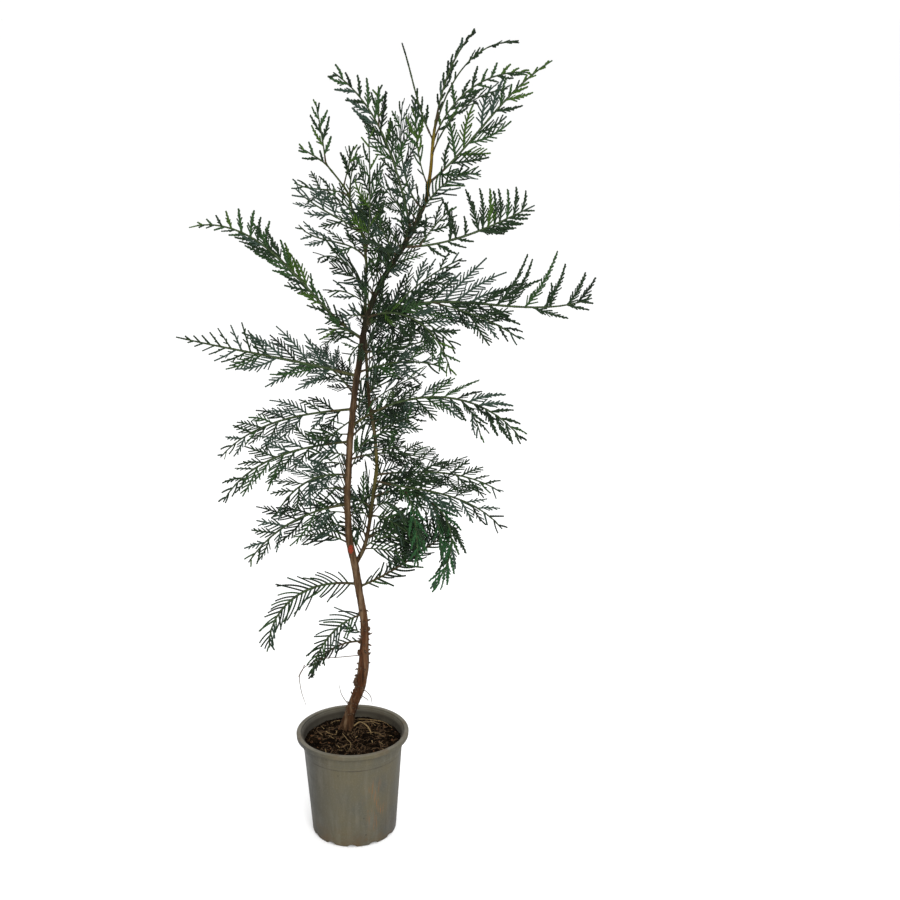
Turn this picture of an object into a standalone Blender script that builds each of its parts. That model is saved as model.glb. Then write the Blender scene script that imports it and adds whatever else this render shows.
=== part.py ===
"""Young leyland cypress in a round nursery pot.

A trunk runs up through the foliage from a flat cut at soil level, and a second stem forks from it low down.
Bare boughs leave both, and each ends where a flat frond of foliage begins. Every frond is one solid: a square
tapering axis with toothed side shoots fused to it, set alternately left and right.

Lengths are in millimetres and angles in degrees. The origin is the middle of the pot's flat underside.
Azimuth 0 is +X and 90 is +Y. A slope of 90 points straight up.
"""

import math
import random
from typing import NamedTuple

import bmesh
import bpy
import numpy as np
from mathutils import Matrix, Vector

MM = 0.001
GAP = 0.3  # clearance between two solids that touch in the real plant
WELD_DISTANCE = 0.001
SEED = 1888

# Pot
POT_HEIGHT = 140.0
POT_FOOT_RADIUS = 54.5
POT_WALL_TOP_RADIUS = 63.6
POT_COLLAR_RADIUS = 64.6
POT_COLLAR_BOTTOM = 120.5
POT_RIM_RADIUS = 72.5
POT_RIM_INNER_RADIUS = 66.6
POT_RIM_DEPTH = 6.2
POT_RIM_EDGE = 1.4  # bevel of the rim's outer edge
POT_RIM_DRAFT = 0.4  # by which the rim narrows downwards
POT_LIP_EDGE = 1.2  # bevel of the rim's inner edge
POT_STEP_HEIGHT = 1.0  # of the sloping step under the collar
POT_WALL = 1.6
POT_FLOOR = 1.8
POT_CHAMFER = 3.0
POT_STEPS = 32
NOTCHES = 12
NOTCH_SIDES = 8
NOTCH_RADIUS = 6.0
NOTCH_HEIGHT = 3.2
NOTCH_LENGTH = 16.0

# Soil
SOIL_LEVEL = 128.0
SOIL_CHAMFER = 2.0
SOIL_CLEARANCE = 0.5  # between the soil and the pot's inner wall

# Trunk and second stem: height, x, y and thickness at stations along the centre line
TRUNK = (
    (SOIL_LEVEL + GAP, -9.0, 28.0, 22.0),
    (133.0, -9.0, 28.0, 17.5),
    (145.0, -6.2, 27.8, 14.6),
    (162.0, -0.8, 27.0, 13.2),
    (187.0, 8.8, 26.0, 13.6),
    (215.0, 13.9, 25.0, 14.2),
    (248.0, 15.8, 24.0, 11.4),
    (281.0, 16.4, 23.0, 9.8),
    (326.0, 10.2, 22.0, 9.2),
    (356.0, 6.6, 20.5, 9.4),
    (395.0, -0.8, 18.0, 8.6),
    (449.0, -2.0, 15.0, 7.8),
    (528.0, 3.4, 12.0, 7.6),
    (592.0, 10.9, 9.0, 7.4),
    (642.0, 19.2, 7.0, 7.0),
    (680.0, 25.9, 5.0, 6.8),
    (708.0, 36.0, 3.0, 6.4),
    (734.0, 49.4, 1.0, 6.0),
    (765.0, 69.8, 0.0, 5.6),
    (791.0, 84.0, 0.0, 5.0),
    (820.0, 98.1, 0.0, 4.5),
    (859.0, 104.1, 1.0, 3.8),
    (891.0, 106.5, 2.0, 3.3),
    (913.0, 110.0, 3.0, 2.9),
)
SECOND_STEM = (
    (362.0, 6.0, 20.5, 6.2),
    (374.0, 13.7, 21.0, 5.4),
    (390.0, 20.2, 22.0, 4.8),
    (420.0, 25.7, 23.0, 4.6),
    (460.0, 31.3, 23.0, 4.4),
    (493.0, 35.5, 22.0, 4.2),
    (532.0, 33.7, 20.0, 4.1),
    (565.0, 28.2, 18.0, 4.0),
    (596.0, 26.3, 17.5, 3.8),
    (634.0, 24.5, 17.5, 3.6),
    (671.0, 23.4, 16.5, 3.5),
    (708.0, 25.3, 14.0, 3.3),
    (745.0, 27.3, 11.0, 3.1),
    (777.0, 25.0, 8.0, 2.9),
    (807.0, 12.9, 5.0, 2.6),
    (831.0, 7.7, 3.0, 2.4),
    (847.0, -3.5, 1.0, 2.2),
    (865.0, -18.0, 0.0, 2.0),
)

# Corners of a limb's section
TRUNK_SIDES = 8
STEM_SIDES = 6
BOUGH_SIDES = 6
TWIG_SIDES = 3

# Fronds
AXIS_STEP = 30.0  # length of one straight run of a frond's axis
AXIS_BEND = 20.0  # bend between two runs
AXIS_TIP = 0.9
AXIS_TAPER = 0.8  # exponent of the axis's thickness towards its tip
JOINT_RUN = 5.0  # straight run on both sides of the joint between a bough and its foliage
FIRST_SHOOT = 5.0  # from the end of the bare stretch
BARE_TIP = 2.0
SHOOT_PITCH = 17.0  # along the axis, left and right in turn
SHOOT_ANGLE = 50.0
SHOOT_ANGLE_AT_TIP = 36.0
SHOOT_ANGLE_VARIATION = 4.0
SHOOT_CURL = 0.3  # share of its angle that a shoot loses by its tip
SHOOT_TWIST = 18.0
SHOOT_LIFT = 9.0
SHOOT_VARIATION = 0.14
SHOOT_RISE = (0.55, 1.5)  # share of the full length at the first shoot, and its gain along the frond
SHOOT_FALL = 1.7  # exponent of the narrowing towards the frond's tip
SHOOT_OUTREACH = 7.0  # by which the last shoots may pass the frond's own tip
SHOOT_WIDTH = 2.3
SHOOT_NARROWING = 0.55
SHOOT_ROOT_WIDTH = 1.0
SHOOT_THICKNESS = 1.5
SHOOT_THINNING = 0.5
RIDGE_PEAK = 0.35  # place of the ridge's high point on each run of the rib
SHORTEST_SHOOT = 9.0
BARE_SHOOT = 4.0  # stretch of a shoot that has no teeth
TOOTH_PITCH = 16.0
TOOTH_ANGLE = 32.0
TOOTH_LENGTH = 15.0
TOOTH_SHARE = 0.36  # of the shoot's length, on a short shoot
TOOTH_SHORTENING = 0.45
TOOTH_PLACE = {1: 0.55, -1: 0.25}  # share of the rib's run at which a left and a right tooth stands
TEETH_AT_MOST = 3
TEETH_REACH = 0.78  # share of a shoot that carries teeth
AXIS_ROOT = 4.0  # stretch of an axis at its host that needs no clearance
CLEARANCE = 0.7  # between a shoot and any other limb or mass


class Frond(NamedTuple):
    """One flat frond and the bare bough that carries it."""

    name: str
    host: str
    height: float
    azimuth: float
    turn: float  # azimuth gained by the tip
    slopes: tuple  # at the root, middle and tip of the axis
    length: float
    width: float  # length of the longest side shoots
    narrowing: float  # share of the width that is lost towards the tip
    tilt: float  # of the flat of the frond about its axis, 0 level
    bare: float
    thickness: float
    bough: bool = False


FRONDS = (
    Frond("low_left_bough_foliage", "trunk", 334, 200, 20, (15, -3, -95), 162, 50, 0.7, 118, 26, 3.4, True),
    Frond("withered_low_frond", "trunk", 292, 205, 0, (-3, -53, -80), 112, 34, 0.9, 125, 10, 2.6),
    Frond("dying_low_twig", "trunk", 254, 195, 0, (9, -22, -83), 93, 14, 0.8, 110, 20, 2.2),
    Frond("left_fork_foliage", "trunk", 390, 150, 0, (15, 8, -34), 69, 34, 0.7, 130, 10, 2.4),
    Frond("left_second_foliage", "trunk", 443, 205, 15, (2, -14, -47), 150, 54, 0.75, 115, 20, 3.2, True),
    Frond("left_third_foliage", "trunk", 482, 230, 0, (19, 6, -54), 136, 54, 0.75, 135, 18, 3.0),
    Frond("left_fourth_foliage", "trunk", 526, 190, 0, (-3, -7, -62), 180, 58, 0.75, 120, 24, 3.4, True),
    Frond("left_inner_foliage", "trunk", 554, 245, 0, (-4, -7, -8), 72, 34, 0.7, 150, 12, 2.2),
    Frond("left_fifth_foliage", "trunk", 568, 165, 0, (-9, -11, -50), 198, 58, 0.75, 115, 24, 3.4, True),
    Frond("left_long_foliage", "trunk", 610, 178, 0, (15, 8, 13), 223, 64, 0.72, 115, 22, 3.8, True),
    Frond("left_rising_foliage", "trunk", 656, 172, 0, (30, 83, -19), 258, 58, 0.7, 125, 40, 4.0, True),
    Frond("right_hanging_foliage", "second_stem", 448, 335, 60, (43, -68, -138), 209, 50, 0.5, 100, 20, 3.0),
    Frond("low_right_bough_foliage", "trunk", 330, 355, 0, (24, 41, 38), 149, 36, 0.5, 50, 34, 3.2, True),
    Frond("right_inner_foliage", "second_stem", 426, 325, 0, (11, -29, -26), 84, 38, 0.7, 60, 10, 2.2),
    Frond("right_back_low_foliage", "second_stem", 397, 50, 0, (12, -15, -17), 112, 42, 0.7, 40, 12, 2.4),
    Frond("right_second_foliage", "second_stem", 472, 335, 0, (-7, 16, -46), 181, 46, 0.7, 55, 16, 3.0),
    Frond("right_third_foliage", "second_stem", 480, 10, 0, (3, -1, -37), 166, 46, 0.7, 60, 16, 3.0),
    Frond("right_back_foliage", "trunk", 502, 40, 0, (7, -24, -26), 170, 50, 0.6, 35, 46, 2.8),
    Frond("right_fourth_foliage", "trunk", 546, 345, 0, (38, 14, -54), 238, 52, 0.65, 55, 48, 3.6, True),
    Frond("right_fifth_foliage", "trunk", 614, 330, 0, (24, 18, -13), 126, 46, 0.65, 60, 24, 2.8),
    Frond("right_sixth_foliage", "trunk", 640, 35, 0, (-9, 7, 7), 110, 46, 0.65, 55, 14, 2.6),
    Frond("right_long_foliage", "trunk", 676, 8, 0, (34, -40, 20), 282, 66, 0.42, 68, 34, 4.0, True),
    Frond("right_drooping_foliage", "trunk", 682, 315, 0, (24, -1, -76), 170, 44, 0.7, 60, 20, 3.0),
    Frond("right_upper_foliage", "trunk", 768, 20, 0, (-4, 23, 22), 173, 52, 0.5, 68, 14, 3.2),
    Frond("second_stem_dark_foliage", "second_stem", 715, 235, 0, (49, 52, -15), 106, 44, 0.7, 130, 14, 2.4),
    Frond("second_stem_low_left_foliage", "second_stem", 752, 210, 0, (57, -25, 54), 100, 44, 0.7, 120, 12, 2.4),
    Frond("second_stem_mid_left_foliage", "second_stem", 784, 185, 0, (35, 20, 48), 92, 42, 0.7, 115, 12, 2.2),
    Frond("second_stem_high_left_foliage", "second_stem", 827, 150, 0, (22, -23, 23), 79, 38, 0.7, 120, 10, 2.0),
    Frond("second_stem_left_crest", "second_stem", 855, 160, 0, (51, 22, 23), 50, 28, 0.7, 110, 8, 1.8),
    Frond("second_stem_crest", "second_stem", 864, 160, 0, (85, 79, 80), 71, 34, 0.75, 85, 4, 2.0),
    Frond("second_stem_right_crest", "second_stem", 838, 60, 0, (64, 64, 60), 50, 26, 0.7, 40, 8, 1.8),
    Frond("upright_inner_foliage", "second_stem", 757, 285, 0, (45, 100, 92), 158, 42, 0.75, 20, 16, 2.2),
    Frond("upper_left_foliage", "trunk", 786, 160, 0, (76, 80, 32), 214, 56, 0.65, 100, 24, 3.0),
    Frond("upper_back_foliage", "trunk", 813, 120, 0, (8, 92, 102), 144, 46, 0.65, 15, 16, 2.6),
    Frond("leader_spike", "trunk", 891, 190, 0, (61, 83, 70), 110, 20, 0.9, 90, 12, 1.8),
    Frond("leader_tip", "trunk", 912, 20, 0, (79, 73, 37), 108, 34, 0.6, 80, 6, 2.4),
    Frond("leader_first_right", "trunk", 901, 322, 0, (72, 58, -10), 157, 34, 0.6, 60, 14, 2.2),
    Frond("leader_second_right", "trunk", 886, 35, 0, (69, 23, -7), 172, 38, 0.6, 65, 14, 2.2),
    Frond("leader_third_right", "trunk", 873, 310, 0, (63, 27, 7), 159, 36, 0.6, 60, 14, 2.0),
    Frond("leader_fourth_right", "trunk", 842, 5, 0, (37, 63, 28), 197, 50, 0.6, 75, 14, 3.0),
    Frond("back_first_foliage", "trunk", 420, 95, 0, (12, 0, -30), 160, 48, 0.7, 30, 20, 2.6),
    Frond("back_second_foliage", "trunk", 530, 65, 0, (14, 6, -10), 180, 52, 0.7, 35, 24, 2.8),
    Frond("back_third_foliage", "trunk", 586, 118, 0, (20, 6, -24), 190, 54, 0.7, -30, 24, 2.8),
    Frond("back_fourth_foliage", "second_stem", 640, 80, 0, (22, 12, -12), 180, 54, 0.7, 30, 24, 2.8),
    Frond("back_fifth_foliage", "trunk", 722, 68, 0, (34, 24, 4), 170, 50, 0.7, 35, 20, 2.6),
    Frond("back_sixth_foliage", "trunk", 745, 128, 0, (40, 34, 12), 160, 48, 0.7, -35, 18, 2.6),
    Frond("front_upper_foliage", "trunk", 748, 262, 0, (34, 26, -18), 124, 42, 0.7, 160, 16, 2.4),
)

COLOURS = {
    "pot": ((0.155, 0.148, 0.115, 1.0), 0.55),
    "soil": ((0.020, 0.013, 0.009, 1.0), 0.95),
    "bark": ((0.150, 0.085, 0.045, 1.0), 0.85),
    "foliage": ((0.020, 0.060, 0.025, 1.0), 0.6),
}


def clear_scene():
    """Removes whatever the scene holds."""
    for old in list(bpy.data.objects):
        bpy.data.objects.remove(old, do_unlink=True)


def new_collection(name):
    """An empty collection in the scene."""
    made = bpy.data.collections.new(name)
    bpy.context.scene.collection.children.link(made)
    return made


def add_material(part, kind):
    """Gives a part its own material of one of the four kinds."""
    colour, roughness = COLOURS[kind]
    material = bpy.data.materials.new(part.name)
    material.use_nodes = True
    shader = material.node_tree.nodes["Principled BSDF"]
    shader.inputs["Base Color"].default_value = colour
    shader.inputs["Roughness"].default_value = roughness
    shader.inputs["Metallic"].default_value = 0.0
    part.data.materials.clear()
    part.data.materials.append(material)


def add_mesh(name, mesh, collection):
    """A new object for a mesh, in a collection."""
    made = bpy.data.objects.new(name, mesh)
    collection.objects.link(made)
    return made


def remove_object(old):
    """Removes an object and the mesh that only it used."""
    mesh = old.data
    bpy.data.objects.remove(old, do_unlink=True)
    if mesh.users == 0:
        bpy.data.batch_remove([mesh])


def evaluated_mesh(source):
    """A mesh of an object as its modifiers and curve settings shape it."""
    depsgraph = bpy.context.evaluated_depsgraph_get()
    return bpy.data.meshes.new_from_object(source.evaluated_get(depsgraph), depsgraph=depsgraph)


def apply_modifiers(part):
    """Turns a part's modifiers into its mesh."""
    mesh = evaluated_mesh(part)
    old = part.data
    part.modifiers.clear()
    part.data = mesh
    bpy.data.batch_remove([old])


def weld(mesh):
    """Joins the corners that coincide and turns all faces outwards."""
    shape = bmesh.new()
    shape.from_mesh(mesh)
    bmesh.ops.remove_doubles(shape, verts=shape.verts, dist=WELD_DISTANCE * MM)
    bmesh.ops.recalc_face_normals(shape, faces=shape.faces)
    shape.to_mesh(mesh)
    shape.free()


def keep_main_body(mesh):
    """Fills any hollow that fusing has sealed, and drops any loose scrap."""
    shape = bmesh.new()
    shape.from_mesh(mesh)
    unseen = set(shape.verts)
    bodies = []
    while unseen:
        body = [unseen.pop()]
        for corner in body:
            near = {edge.other_vert(corner) for edge in corner.link_edges} & unseen
            unseen -= near
            body.extend(near)
        bodies.append(body)
    bodies.sort(key=len)
    for body in bodies[:-1]:
        bmesh.ops.delete(shape, geom=body, context="VERTS")
    shape.to_mesh(mesh)
    shape.free()


def boolean(part, operation, operand, solver="EXACT"):
    """Joins a part with, or cuts it by, an object or a whole collection."""
    cut = part.modifiers.new(operation.lower(), "BOOLEAN")
    cut.operation = operation
    cut.solver = solver
    if isinstance(operand, bpy.types.Collection):
        cut.operand_type = "COLLECTION"
        cut.collection = operand
    else:
        cut.object = operand
    apply_modifiers(part)


# Turned parts


def turned(name, profile, collection, steps):
    """A solid of revolution from (radius, height) points, the outer side running down."""
    mesh = bpy.data.meshes.new(name)
    points = [(radius * MM, 0.0, height * MM) for radius, height in profile]
    edges = [(i, i + 1) for i in range(len(points) - 1)]
    mesh.from_pydata(points, edges, [])
    part = add_mesh(name, mesh, collection)
    screw = part.modifiers.new("turn", "SCREW")
    screw.axis = "Z"
    screw.steps = steps
    screw.render_steps = steps
    screw.use_merge_vertices = True
    screw.merge_threshold = 0.0001
    apply_modifiers(part)
    weld(part.data)
    return part


def wall_radius(height):
    """Outer radius of the tapered wall below the collar."""
    share = height / POT_COLLAR_BOTTOM
    return POT_FOOT_RADIUS + (POT_WALL_TOP_RADIUS - POT_FOOT_RADIUS) * share


def make_pot(collection, cutters):
    """A tapered pot with a collar, a flanged rim and drainage notches round its foot."""
    rim_bottom = POT_HEIGHT - POT_RIM_DEPTH
    collar_inner = POT_COLLAR_RADIUS - POT_WALL
    inner_top = wall_radius(POT_COLLAR_BOTTOM) - POT_WALL
    profile = (
        (0.0, POT_FLOOR),
        (wall_radius(POT_FLOOR) - POT_WALL - POT_CHAMFER, POT_FLOOR),
        (wall_radius(POT_CHAMFER) - POT_WALL, POT_FLOOR + POT_CHAMFER),
        (inner_top, POT_COLLAR_BOTTOM),
        (collar_inner, POT_COLLAR_BOTTOM + POT_STEP_HEIGHT),
        (collar_inner, rim_bottom),
        (POT_RIM_INNER_RADIUS, POT_HEIGHT - POT_LIP_EDGE),
        (POT_RIM_INNER_RADIUS + POT_LIP_EDGE, POT_HEIGHT),
        (POT_RIM_RADIUS - POT_RIM_EDGE, POT_HEIGHT),
        (POT_RIM_RADIUS, POT_HEIGHT - POT_RIM_EDGE),
        (POT_RIM_RADIUS - POT_RIM_DRAFT, rim_bottom),
        (POT_COLLAR_RADIUS, rim_bottom),
        (POT_COLLAR_RADIUS, POT_COLLAR_BOTTOM),
        (wall_radius(POT_COLLAR_BOTTOM), POT_COLLAR_BOTTOM - POT_STEP_HEIGHT),
        (wall_radius(POT_CHAMFER), POT_CHAMFER),
        (POT_FOOT_RADIUS - POT_CHAMFER, 0.0),
        (0.0, 0.0),
    )
    pot = turned("pot", profile, collection, POT_STEPS)
    for i in range(NOTCHES):
        angle = math.tau * i / NOTCHES
        reach = POT_FOOT_RADIUS * MM
        bpy.ops.mesh.primitive_cylinder_add(
            vertices=NOTCH_SIDES,
            radius=NOTCH_RADIUS * MM,
            depth=NOTCH_LENGTH * MM,
            location=(reach * math.cos(angle), reach * math.sin(angle), (NOTCH_HEIGHT - NOTCH_RADIUS) * MM),
            rotation=(0.0, math.pi / 2, angle),
        )
        notch = bpy.context.object
        notch.name = f"notch_{i + 1}"
        notch.display_type = "WIRE"
        notch.hide_render = True
        for holder in list(notch.users_collection):
            holder.objects.unlink(notch)
        cutters.objects.link(notch)
    boolean(pot, "DIFFERENCE", cutters)
    weld(pot.data)
    pot.data.shade_smooth()
    pot.data.set_sharp_from_angle(angle=math.radians(30))
    add_material(pot, "pot")
    return pot


def make_soil(collection):
    """The plug of soil that fills the pot up to its collar."""
    floor = POT_FLOOR + NOTCH_HEIGHT
    inner = POT_WALL + SOIL_CLEARANCE
    profile = (
        (0.0, SOIL_LEVEL),
        (POT_COLLAR_RADIUS - inner - SOIL_CHAMFER, SOIL_LEVEL),
        (POT_COLLAR_RADIUS - inner, SOIL_LEVEL - SOIL_CHAMFER),
        (POT_COLLAR_RADIUS - inner, POT_COLLAR_BOTTOM + 2 * POT_STEP_HEIGHT),
        (wall_radius(POT_COLLAR_BOTTOM) - inner, POT_COLLAR_BOTTOM - POT_STEP_HEIGHT),
        (wall_radius(floor + SOIL_CHAMFER) - inner, floor + SOIL_CHAMFER),
        (wall_radius(floor) - inner - POT_CHAMFER, floor),
        (0.0, floor),
    )
    soil = turned("potting_soil", profile, collection, POT_STEPS)
    add_material(soil, "soil")
    return soil


# Limbs


def smooth_route(stations, height):
    """Point and thickness on a stem's centre line at a height, between its stations."""
    levels = [row[0] for row in stations]
    return tuple(float(np.interp(height, levels, [row[i] for row in stations])) for i in (1, 2, 3))


def section(sides):
    """A regular polygon 1 mm across its corners, which a limb's curve sweeps."""
    name = f"section_{sides}"
    if name in bpy.data.objects:
        return bpy.data.objects[name]
    curve = bpy.data.curves.new(name, "CURVE")
    curve.dimensions = "2D"
    spline = curve.splines.new("POLY")
    spline.points.add(sides - 1)
    for i, knot in enumerate(spline.points):
        angle = math.tau * i / sides
        knot.co = (math.cos(angle) * MM / 2, math.sin(angle) * MM / 2, 0.0, 1.0)
    spline.use_cyclic_u = True
    drawn = bpy.data.objects.new(name, curve)
    drawn.display_type = "WIRE"
    drawn.hide_render = True
    bpy.data.collections["cutters"].objects.link(drawn)
    return drawn


def tube(name, points, widths, collection, sides):
    """A tapering limb of polygonal section along points, with both ends capped."""
    curve = bpy.data.curves.new(name, "CURVE")
    curve.dimensions = "3D"
    curve.twist_mode = "MINIMUM"
    curve.bevel_mode = "OBJECT"
    curve.bevel_object = section(sides)
    curve.use_fill_caps = True
    spline = curve.splines.new("POLY")
    spline.points.add(len(points) - 1)
    for knot, point, width in zip(spline.points, points, widths):
        knot.co = (*(coordinate * MM for coordinate in point), 1.0)
        knot.radius = width
    drawn = bpy.data.objects.new(name + "_curve", curve)
    collection.objects.link(drawn)
    mesh = evaluated_mesh(drawn)
    weld(mesh)
    limb = bpy.data.objects.new(name, mesh)
    limb.matrix_world = drawn.matrix_world
    collection.objects.link(limb)
    bpy.data.objects.remove(drawn, do_unlink=True)
    bpy.data.curves.remove(curve)
    return limb


def stem_points(stations):
    """Points and thicknesses of a stem, from the ground up."""
    points = [(x, y, height) for height, x, y, _ in stations]
    widths = [width for *_, width in stations]
    return points, widths


def make_stem(name, stations, collection, sides):
    """A trunk or second stem with its bark."""
    points, widths = stem_points(stations)
    stem = tube(name, points, widths, collection, sides)
    stem.data.shade_smooth()
    add_material(stem, "bark")
    return stem


def make_sleeve(name, stations, cutters, sides):
    """A stem grown by the gap all round and past its tip, which trims whatever sprouts from that stem."""
    points, widths = stem_points(stations)
    tip, before = Vector(points[-1]), Vector(points[-2])
    points[-1] = tip + (tip - before).normalized() * GAP
    sleeve = tube(name, points, [width + 2 * GAP for width in widths], cutters, sides)
    sleeve.display_type = "WIRE"
    sleeve.hide_render = True
    return sleeve


# Frond geometry


def slope_at(frond, share):
    root, middle, tip = frond.slopes
    rest = 1.0 - share
    return root * rest * rest + 2 * middle * share * rest + tip * share * share


def heading(frond, share):
    """Direction of a frond's axis, its sideways direction, and the width direction of its flat blade."""
    slope = math.radians(slope_at(frond, share))
    azimuth = math.radians(frond.azimuth + frond.turn * share)
    along = Vector((
        math.cos(slope) * math.cos(azimuth),
        math.cos(slope) * math.sin(azimuth),
        math.sin(slope),
    ))
    level = Vector((-math.sin(azimuth), math.cos(azimuth), 0.0))
    tilt = math.radians(frond.tilt)
    across = level * math.cos(tilt) + along.cross(level) * math.sin(tilt)
    return along, across


class Axis:
    """The route of one frond from the middle of its host to its tip, in short straight runs."""

    FINE_STEPS = 120

    def __init__(self, frond, hosts):
        self.frond = frond
        x, y, _ = smooth_route(hosts[frond.host], frond.height)
        fine = [Vector((x, y, frond.height))]
        for i in range(self.FINE_STEPS):
            along, _ = heading(frond, (i + 0.5) / self.FINE_STEPS)
            fine.append(fine[-1] + along * (frond.length / self.FINE_STEPS))
        if frond.bough:
            self.marks = self.marks_between(0.0, frond.bare - JOINT_RUN)
            self.marks += self.marks_between(frond.bare + JOINT_RUN, frond.length)
        else:
            self.marks = self.marks_between(0.0, frond.length)
        places = [round(mark / frond.length * self.FINE_STEPS) for mark in self.marks]
        self.points = [fine[place] for place in places]

    def marks_between(self, start, end):
        """Distances along the axis at even steps, closer where the axis bends more."""
        shares = (start / self.frond.length, end / self.frond.length)
        bend = abs(slope_at(self.frond, shares[1]) - slope_at(self.frond, shares[0]))
        count = max(1, round((end - start) / AXIS_STEP), round(bend / AXIS_BEND))
        return [start + (end - start) * i / count for i in range(count + 1)]

    def at(self, distance):
        """The point at a distance along the axis."""
        return Vector([np.interp(distance, self.marks, [p[i] for p in self.points]) for i in range(3)])

    def width(self, distance):
        """The axis's thickness at a distance from its root."""
        share = min(distance / self.frond.length, 1.0)
        return AXIS_TIP + (self.frond.thickness - AXIS_TIP) * (1.0 - share) ** AXIS_TAPER

    def stations(self, start, end):
        """Points and widths from one distance to another, with the marks that lie between."""
        distances = [start, *(mark for mark in self.marks if start + 1.0 < mark < end - 1.0), end]
        return [self.at(d) for d in distances], [self.width(d) for d in distances]


def shoot_length(frond, share):
    """Length of a side shoot at a share of the leafy stretch: full at a third, short at both ends."""
    start, gain = SHOOT_RISE
    rise = min(1.0, start + gain * share)
    fall = 1.0 - frond.narrowing * share**SHOOT_FALL
    return frond.width * rise * fall


class Shoot:
    """A toothed side shoot: its curved rib and the width direction of its blade."""

    def __init__(self, root, along, across, normal, side, angle, length):
        self.length = length
        self.teeth = min(TEETH_AT_MOST, round((length - BARE_SHOOT) / TOOTH_PITCH))
        self.root = root
        self.points = [root]
        steps = max(1, self.teeth) + 1
        self.normal = normal
        self.headings = []
        for i in range(steps):
            turn = math.radians(angle * (1.0 - SHOOT_CURL * i / steps))
            toward = along * math.cos(turn) + across * (side * math.sin(turn))
            self.headings.append(toward.normalized())
        self.shares = [0.0]
        for i in range(steps):
            last = i == steps - 1
            share = 1.0 if last else TEETH_REACH * (i + 1) / (steps - 1)
            run = (share - self.shares[-1]) * length
            self.points.append(self.points[-1] + self.headings[i] * run)
            self.shares.append(share)

    def side_of(self, i):
        """The sideways direction of the rib's run i."""
        return self.normal.cross(self.headings[min(i, len(self.headings) - 1)]).normalized()

    def width(self, share):
        """The blade's width, without its teeth, at a share of its length."""
        if share == 0.0:
            return SHOOT_ROOT_WIDTH
        return SHOOT_WIDTH * (1.0 - SHOOT_NARROWING * share)

    def tooth_tip(self, i, side):
        """Tip of the tooth that stands on the rib between points i and i + 1."""
        share = self.shares[i]
        length = min(TOOTH_LENGTH, TOOTH_SHARE * self.length) * (1.0 - TOOTH_SHORTENING * share)
        turn = math.radians(TOOTH_ANGLE)
        toward = self.headings[i] * math.cos(turn) + self.side_of(i) * (side * math.sin(turn))
        start = self.points[i].lerp(self.points[i + 1], TOOTH_PLACE[side])
        return start + toward * length

    def outline_runs(self):
        """The straight runs that bound the shoot, for the clearance test."""
        runs = list(zip(self.points[:-1], self.points[1:]))
        for i in range(self.teeth):
            for side in (1, -1):
                tip = self.tooth_tip(i, side)
                runs.append((self.points[i], tip))
                runs.append((tip, self.points[i + 1]))
        return runs

    def mesh(self, name):
        """A low ridged blade: flat below, a ridge along the rib above, teeth left and right."""
        shape = bmesh.new()
        edges = {1: [], -1: []}
        for i, point in enumerate(self.points[:-1]):
            half = self.width(self.shares[i]) / 2
            for side in edges:
                edges[side].append(shape.verts.new((point + self.side_of(i) * side * half) * MM))
        tip = shape.verts.new(self.points[-1] * MM)
        ridge = []
        for i in range(len(self.points) - 1):
            place = self.points[i].lerp(self.points[i + 1], RIDGE_PEAK if i else 0.0)
            height = SHOOT_THICKNESS * (1.0 - SHOOT_THINNING * self.shares[i]) if i else SHOOT_ROOT_WIDTH / 2
            ridge.append(shape.verts.new((place + self.normal * height) * MM))
        for i in range(len(ridge) - 1):
            for side in edges:
                near, far = edges[side][i], edges[side][i + 1]
                if i < self.teeth:
                    tooth = shape.verts.new(self.tooth_tip(i, side) * MM)
                    middle = ridge[i]
                    faces = [(near, tooth, middle), (middle, tooth, far), (near, far, tooth)]
                else:
                    faces = [(near, far, ridge[i])]
                faces.append((ridge[i], far, ridge[i + 1]))
                for corners in faces:
                    shape.faces.new(corners if side < 0 else corners[::-1])
            left, right = edges[1], edges[-1]
            shape.faces.new((left[i], left[i + 1], right[i + 1], right[i]))
        last = len(ridge) - 1
        shape.faces.new((ridge[last], edges[-1][last], tip))
        shape.faces.new((ridge[last], tip, edges[1][last]))
        shape.faces.new((tip, edges[-1][last], edges[1][last]))
        shape.faces.new((ridge[0], edges[1][0], edges[-1][0]))
        bmesh.ops.triangulate(shape, faces=shape.faces)
        bmesh.ops.recalc_face_normals(shape, faces=shape.faces)
        mesh = bpy.data.meshes.new(name)
        shape.to_mesh(mesh)
        shape.free()
        return mesh


class Crowd:
    """The limbs and shoots placed so far, as round-ended rods, so that a new shoot can keep clear of them."""

    def __init__(self):
        self.starts = np.zeros((0, 3))
        self.ends = np.zeros((0, 3))
        self.radii = np.zeros(0)
        self.owners = np.zeros(0, dtype=int)

    def add(self, runs, radii, owner):
        """Adds the straight runs of a limb or shoot that belongs to one frond or stem."""
        self.starts = np.vstack([self.starts, [tuple(a) for a, _ in runs]])
        self.ends = np.vstack([self.ends, [tuple(b) for _, b in runs]])
        self.radii = np.append(self.radii, radii)
        self.owners = np.append(self.owners, [owner] * len(runs))

    def is_clear(self, runs, radius, owner):
        """Tells whether rods along the runs keep clear of all that belongs to others."""
        others = self.owners != owner
        starts, ends, radii = self.starts[others], self.ends[others], self.radii[others]
        for start, end in runs:
            gaps = rod_distances(np.array(start), np.array(end), starts, ends)
            if np.any(gaps < radii + radius + CLEARANCE):
                return False
        return True


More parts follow.
